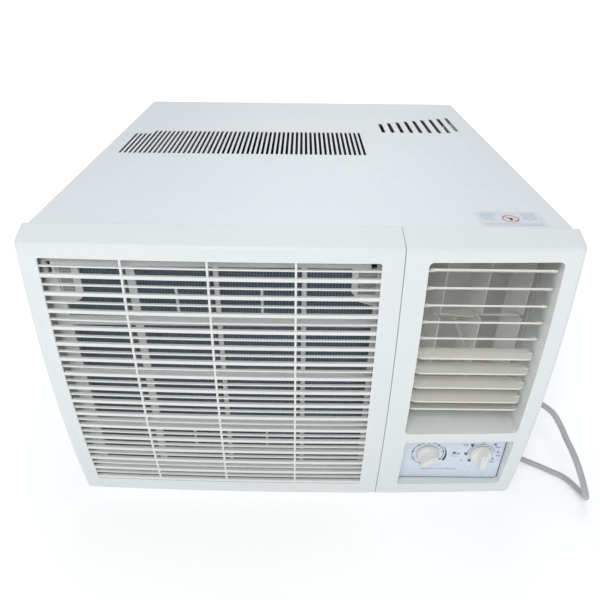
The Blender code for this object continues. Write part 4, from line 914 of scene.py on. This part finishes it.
kx, kz = knob_centre("thermostat_knob")
mx, mz = knob_centre("mode_knob")
marks = arc(kx, kz, 23.4, 0.85, 0, 360, 72)
for a in range(10, 370, 40):
    c, s = math.cos(math.radians(a)), math.sin(math.radians(a))
    marks.append(stroke(kx + 21.0 * c, kz + 21.0 * s, kx + 24.8 * c, kz + 24.8 * s, 1.4))
crescent = []
for i in range(13):
    a = math.radians(38.0 - 68.0 * i / 12)
    crescent.append((kx + 26.2 * math.cos(a), kz + 26.2 * math.sin(a)))
for i in range(12, -1, -1):
    a = math.radians(38.0 - 68.0 * i / 12)
    crescent.append((kx + (26.6 + 3.6 * i / 12) * math.cos(a), kz + (26.6 + 3.6 * i / 12) * math.sin(a)))
for i in range(12):
    marks.append([crescent[i], crescent[i + 1], crescent[24 - i], crescent[25 - i]])
marks += star(233.2, 81.8, 3.6, 1.2, 6) + arc(mx, mz, 20.6, 0.8, 18, 168, 40)
for x, z, n in ((257.4, 98.8, 3), (250.9, 80.3, 2), (258.2, 66.0, 1)):
    for i in range(-1, 2):
        lean = math.radians(90 + 26 * i)
        marks.append(stroke(x, z - 3.0, x + 6.4 * math.cos(lean), z - 3.0 + 6.4 * math.sin(lean), 1.5))
    for i in range(n):
        marks.append(stroke(x - 12.5 + 2.8 * i, z - 1.6, x - 12.5 + 2.8 * i, z + 1.8, 1.3))
marks.append(stroke(mx + 0.6, 103.2, mx + 0.6, 105.6, 1.6))
for i in range(4):
    marks.append(stroke(228.6 + 2.6 * i, 75.0, 230.2 + 2.6 * i, 75.0, 1.1))
for i in range(15):
    marks.append(stroke(187.0 + 3.7 * i, 46.6, 189.3 + 3.7 * i, 46.6, 1.1))
printed("print_navy", NAVY_INK, marks)
marks = star(291.0, 100.6, 3.4, 1.3, 6) + star(298.0, 84.5, 3.0, 1.3, 4) + star(291.5, 69.9, 3.2, 1.3, 5)
for x, z in ((296.2, 94.6), (300.4, 77.0), (292.6, 63.4)):
    for i in range(3):
        marks.append(stroke(x - 3.0 + 2.4 * i, z - 1.7, x - 3.0 + 2.4 * i, z + 1.7, 1.5))
printed("print_violet", VIOLET_INK, marks)
# A dark line along the plate's right and bottom edges and round its lower right corner: painted shadow for the gap
# around the plate, not print.
painted_gap_shadow_line = arc(plate_high.x - 6.0, plate_low.z + 6.0, 5.4, 0.9, -90, 0, 10)
painted_gap_shadow_line += [stroke(plate_high.x - 0.6, plate_low.z + 6.0, plate_high.x - 0.6, plate_high.z - 4.0, 0.9), stroke(plate_low.x + 6.0, plate_low.z + 0.6, plate_high.x - 6.0, plate_low.z + 0.6, 0.9)]
printed("plate_gap_shadow", NAVY_INK, painted_gap_shadow_line)

for name, body, lean in (("thermostat_knob", "thermostat_dial", -50.0), ("mode_knob", "mode_dial", 0.0)):
    low, high = corner(name, 0), corner(name, 1)
    cx, cz = knob_centre(name)
    y0 = high.y - 5.0
    profile = [(0.0, high.y), (2.9, high.y), (2.9, y0), (16.4, y0), (17.0, y0 - 0.4), (17.0, y0 - 1.6), (16.6, y0 - 2.4), (15.8, y0 - 4.6), (15.0, y0 - 6.0), (14.2, y0 - 6.7), (13.0, y0 - 7.0), (0.0, y0 - 7.2)]
    bm = turned(bmesh.new(), profile, (cx, cz), "y", 64)
    knob = raw(f"{name}_fine", bm)
    grip = bmesh.new()
    prism(grip, rounded((-5.4, 5.4), (-15.4, 15.4), 3.0, 5), -(y0 - low.y), -3.0, "y")
    for v in grip.verts:
        if v.co.y < -8.0:
            v.co.x *= 0.74
            v.co.z *= 0.90
    bmesh.ops.rotate(grip, verts=grip.verts, cent=(0, 0, 0), matrix=Matrix.Rotation(math.radians(-lean), 3, "Y"))
    bmesh.ops.translate(grip, verts=grip.verts, vec=(cx, y0, cz))
    fuse(knob, grip)
    soften(knob, 0.9, 4, 40)
    piece(knob, KNOB, body, (name,), angle=45)
    line_mark = bmesh.new()
    box(line_mark, (-0.5, 0.5), (low.y - 0.05, low.y + 0.2), (5.0, 12.6))
    bmesh.ops.rotate(line_mark, verts=line_mark.verts, cent=(0, 0, 0), matrix=Matrix.Rotation(math.radians(-lean), 3, "Y"))
    bmesh.ops.translate(line_mark, verts=line_mark.verts, vec=(cx, 0.0, cz))
    piece(raw(f"{name}_pointer", line_mark), GREY_PLASTIC, body)

# ---------------------------------------------------------------- label on the top
label = bmesh.new()
prism(label, rounded((216.0, 297.0), (37.0, 82.0), 2.5), TOP_Z + 0.02, TOP_Z + 0.14, "z")
piece(raw("top_label", label), LABEL, "root")


def flat_arc(cx, cy, r, w, a0, a1, n):
    return arc(cx, cy, r, w, a0, a1, n)


def on_top(name, material, shapes):
    bm = bmesh.new()
    for shape in shapes:
        prism(bm, shape, TOP_Z + 0.10, TOP_Z + 0.20, "z")
    return piece(raw(name, bm), material, "root")


on_top("label_ring", RED_INK, arc(257.0, 60.5, 9.6, 1.7, 0, 360, 48) + [stroke(250.5, 67.0, 263.5, 54.0, 1.5)])
on_top("label_sign", NAVY_INK, [stroke(257.0, 55.0, 257.0, 63.0, 2.6), stroke(253.5, 62.0, 260.5, 62.0, 1.8)])
bars = [stroke(x0, y, x1, y, 1.2) for y in (76.0, 72.5, 69.0, 65.5, 62.0, 58.5) for x0, x1 in ((221.0, 240.0 - (y % 3)), (273.0, 292.0 - (y % 5)))]
bars += [stroke(221.0, y, 292.0, y, 1.2) for y in (45.5, 41.5)]
on_top("label_lines", BLUE_INK, bars)

# ---------------------------------------------------------------- finishes of the CAD nodes that show as they are
FINISH = {
    GALVANISED: ("base_pan", "bulkhead", "fan_shroud", "motor_bracket", "evaporator_end_plate", "condenser_end_plate", "run_capacitor", "swing_motor"),
    IVORY: ("vane_link_bar",),
    GREY_PLASTIC: ("vane_drive_rod", "swing_crank"),
    COPPER: ("discharge_pipe", "suction_pipe", "liquid_line", "capillary_tube", "filter_drier"),
    BLACK_STEEL: ("compressor", "compressor_foot_plate", "accumulator", "fan_motor"),
    STEEL: ("fan_shaft", "cabinet_screw_1", "cabinet_screw_2"),
    DUCT: ("blower_scroll",),
    BLACK_PLASTIC: ("blower_wheel", "condenser_fan", "thermostat_body", "mode_switch"),
    RUBBER: ("compressor_grommet_1", "compressor_grommet_2", "compressor_grommet_3"),
}
for material, names in FINISH.items():
    for name in names:
        node = NODES[name]
        if node.material_slots:
            for held in node.material_slots:
                held.material = material
        else:
            node.data.materials.append(material)

# ---------------------------------------------------------------- floor and light
def floor_material():
    g = Graph("studio_floor")
    drift = g.noise(1.5, 2.0)
    spot = g.remap(drift, "Fac", 0.3, 0.7, 0.0, 1.0)
    colour = g.mix((spot, "Result"), (0.93, 0.935, 0.94), (0.96, 0.96, 0.96))
    g.tree.links.new(colour.outputs[2], g.bsdf.inputs["Base Color"])
    r = g.remap(drift, "Fac", 0.3, 0.7, 0.7, 0.8)
    g.link(r, "Result", g.bsdf, "Roughness")
    g.bsdf.inputs["Specular IOR Level"].default_value = 0.2
    g.bsdf.inputs["Emission Color"].default_value = (1.0, 1.0, 1.0, 1.0)
    far = g.node("ShaderNodeVectorMath", operation="LENGTH")
    g.link(g.coords, "Object", far, 0)
    lift = g.remap(far, "Value", 0.5, 1.9, 0.22, 0.60)
    g.link(lift, "Result", g.bsdf, "Emission Strength")
    return g.mat


floor_bm = bmesh.new()
box(floor_bm, (-30000.0, 30000.0), (-30000.0, 30000.0), (-20.0, -0.02))
floor = raw("studio_floor", floor_bm)
floor.data.materials.append(floor_material())

bpy.context.scene.view_settings.view_transform = "Standard"
world = bpy.data.worlds.new("studio")
world.use_nodes = True
background = world.node_tree.nodes["Background"]
background.inputs["Color"].default_value = (0.95, 0.975, 1.0, 1.0)
background.inputs["Strength"].default_value = 0.46
bpy.context.scene.world = world


def area(name, at, look, size, power, colour=(1.0, 1.0, 1.0)):
    data = bpy.data.lights.new(name, "AREA")
    data.shape, data.size, data.energy, data.color = "DISK", size, power, colour
    lamp = bpy.data.objects.new(name, data)
    lamp.location = at
    lamp.rotation_euler = (Vector(look) - Vector(at)).to_track_quat("-Z", "Y").to_euler()
    bpy.context.scene.collection.objects.link(lamp)
    return lamp


area("key", (-0.35, -1.75, 1.95), (0.0, -0.1, 0.2), 1.1, 19.0, (1.0, 0.995, 0.985))
area("overhead", (0.0, 0.2, 2.4), (0.0, 0.0, 0.0), 1.6, 8.5, (0.97, 0.985, 1.0))
area("rear", (0.2, 2.2, 1.9), (0.0, 0.9, 0.1), 1.8, 9.0)
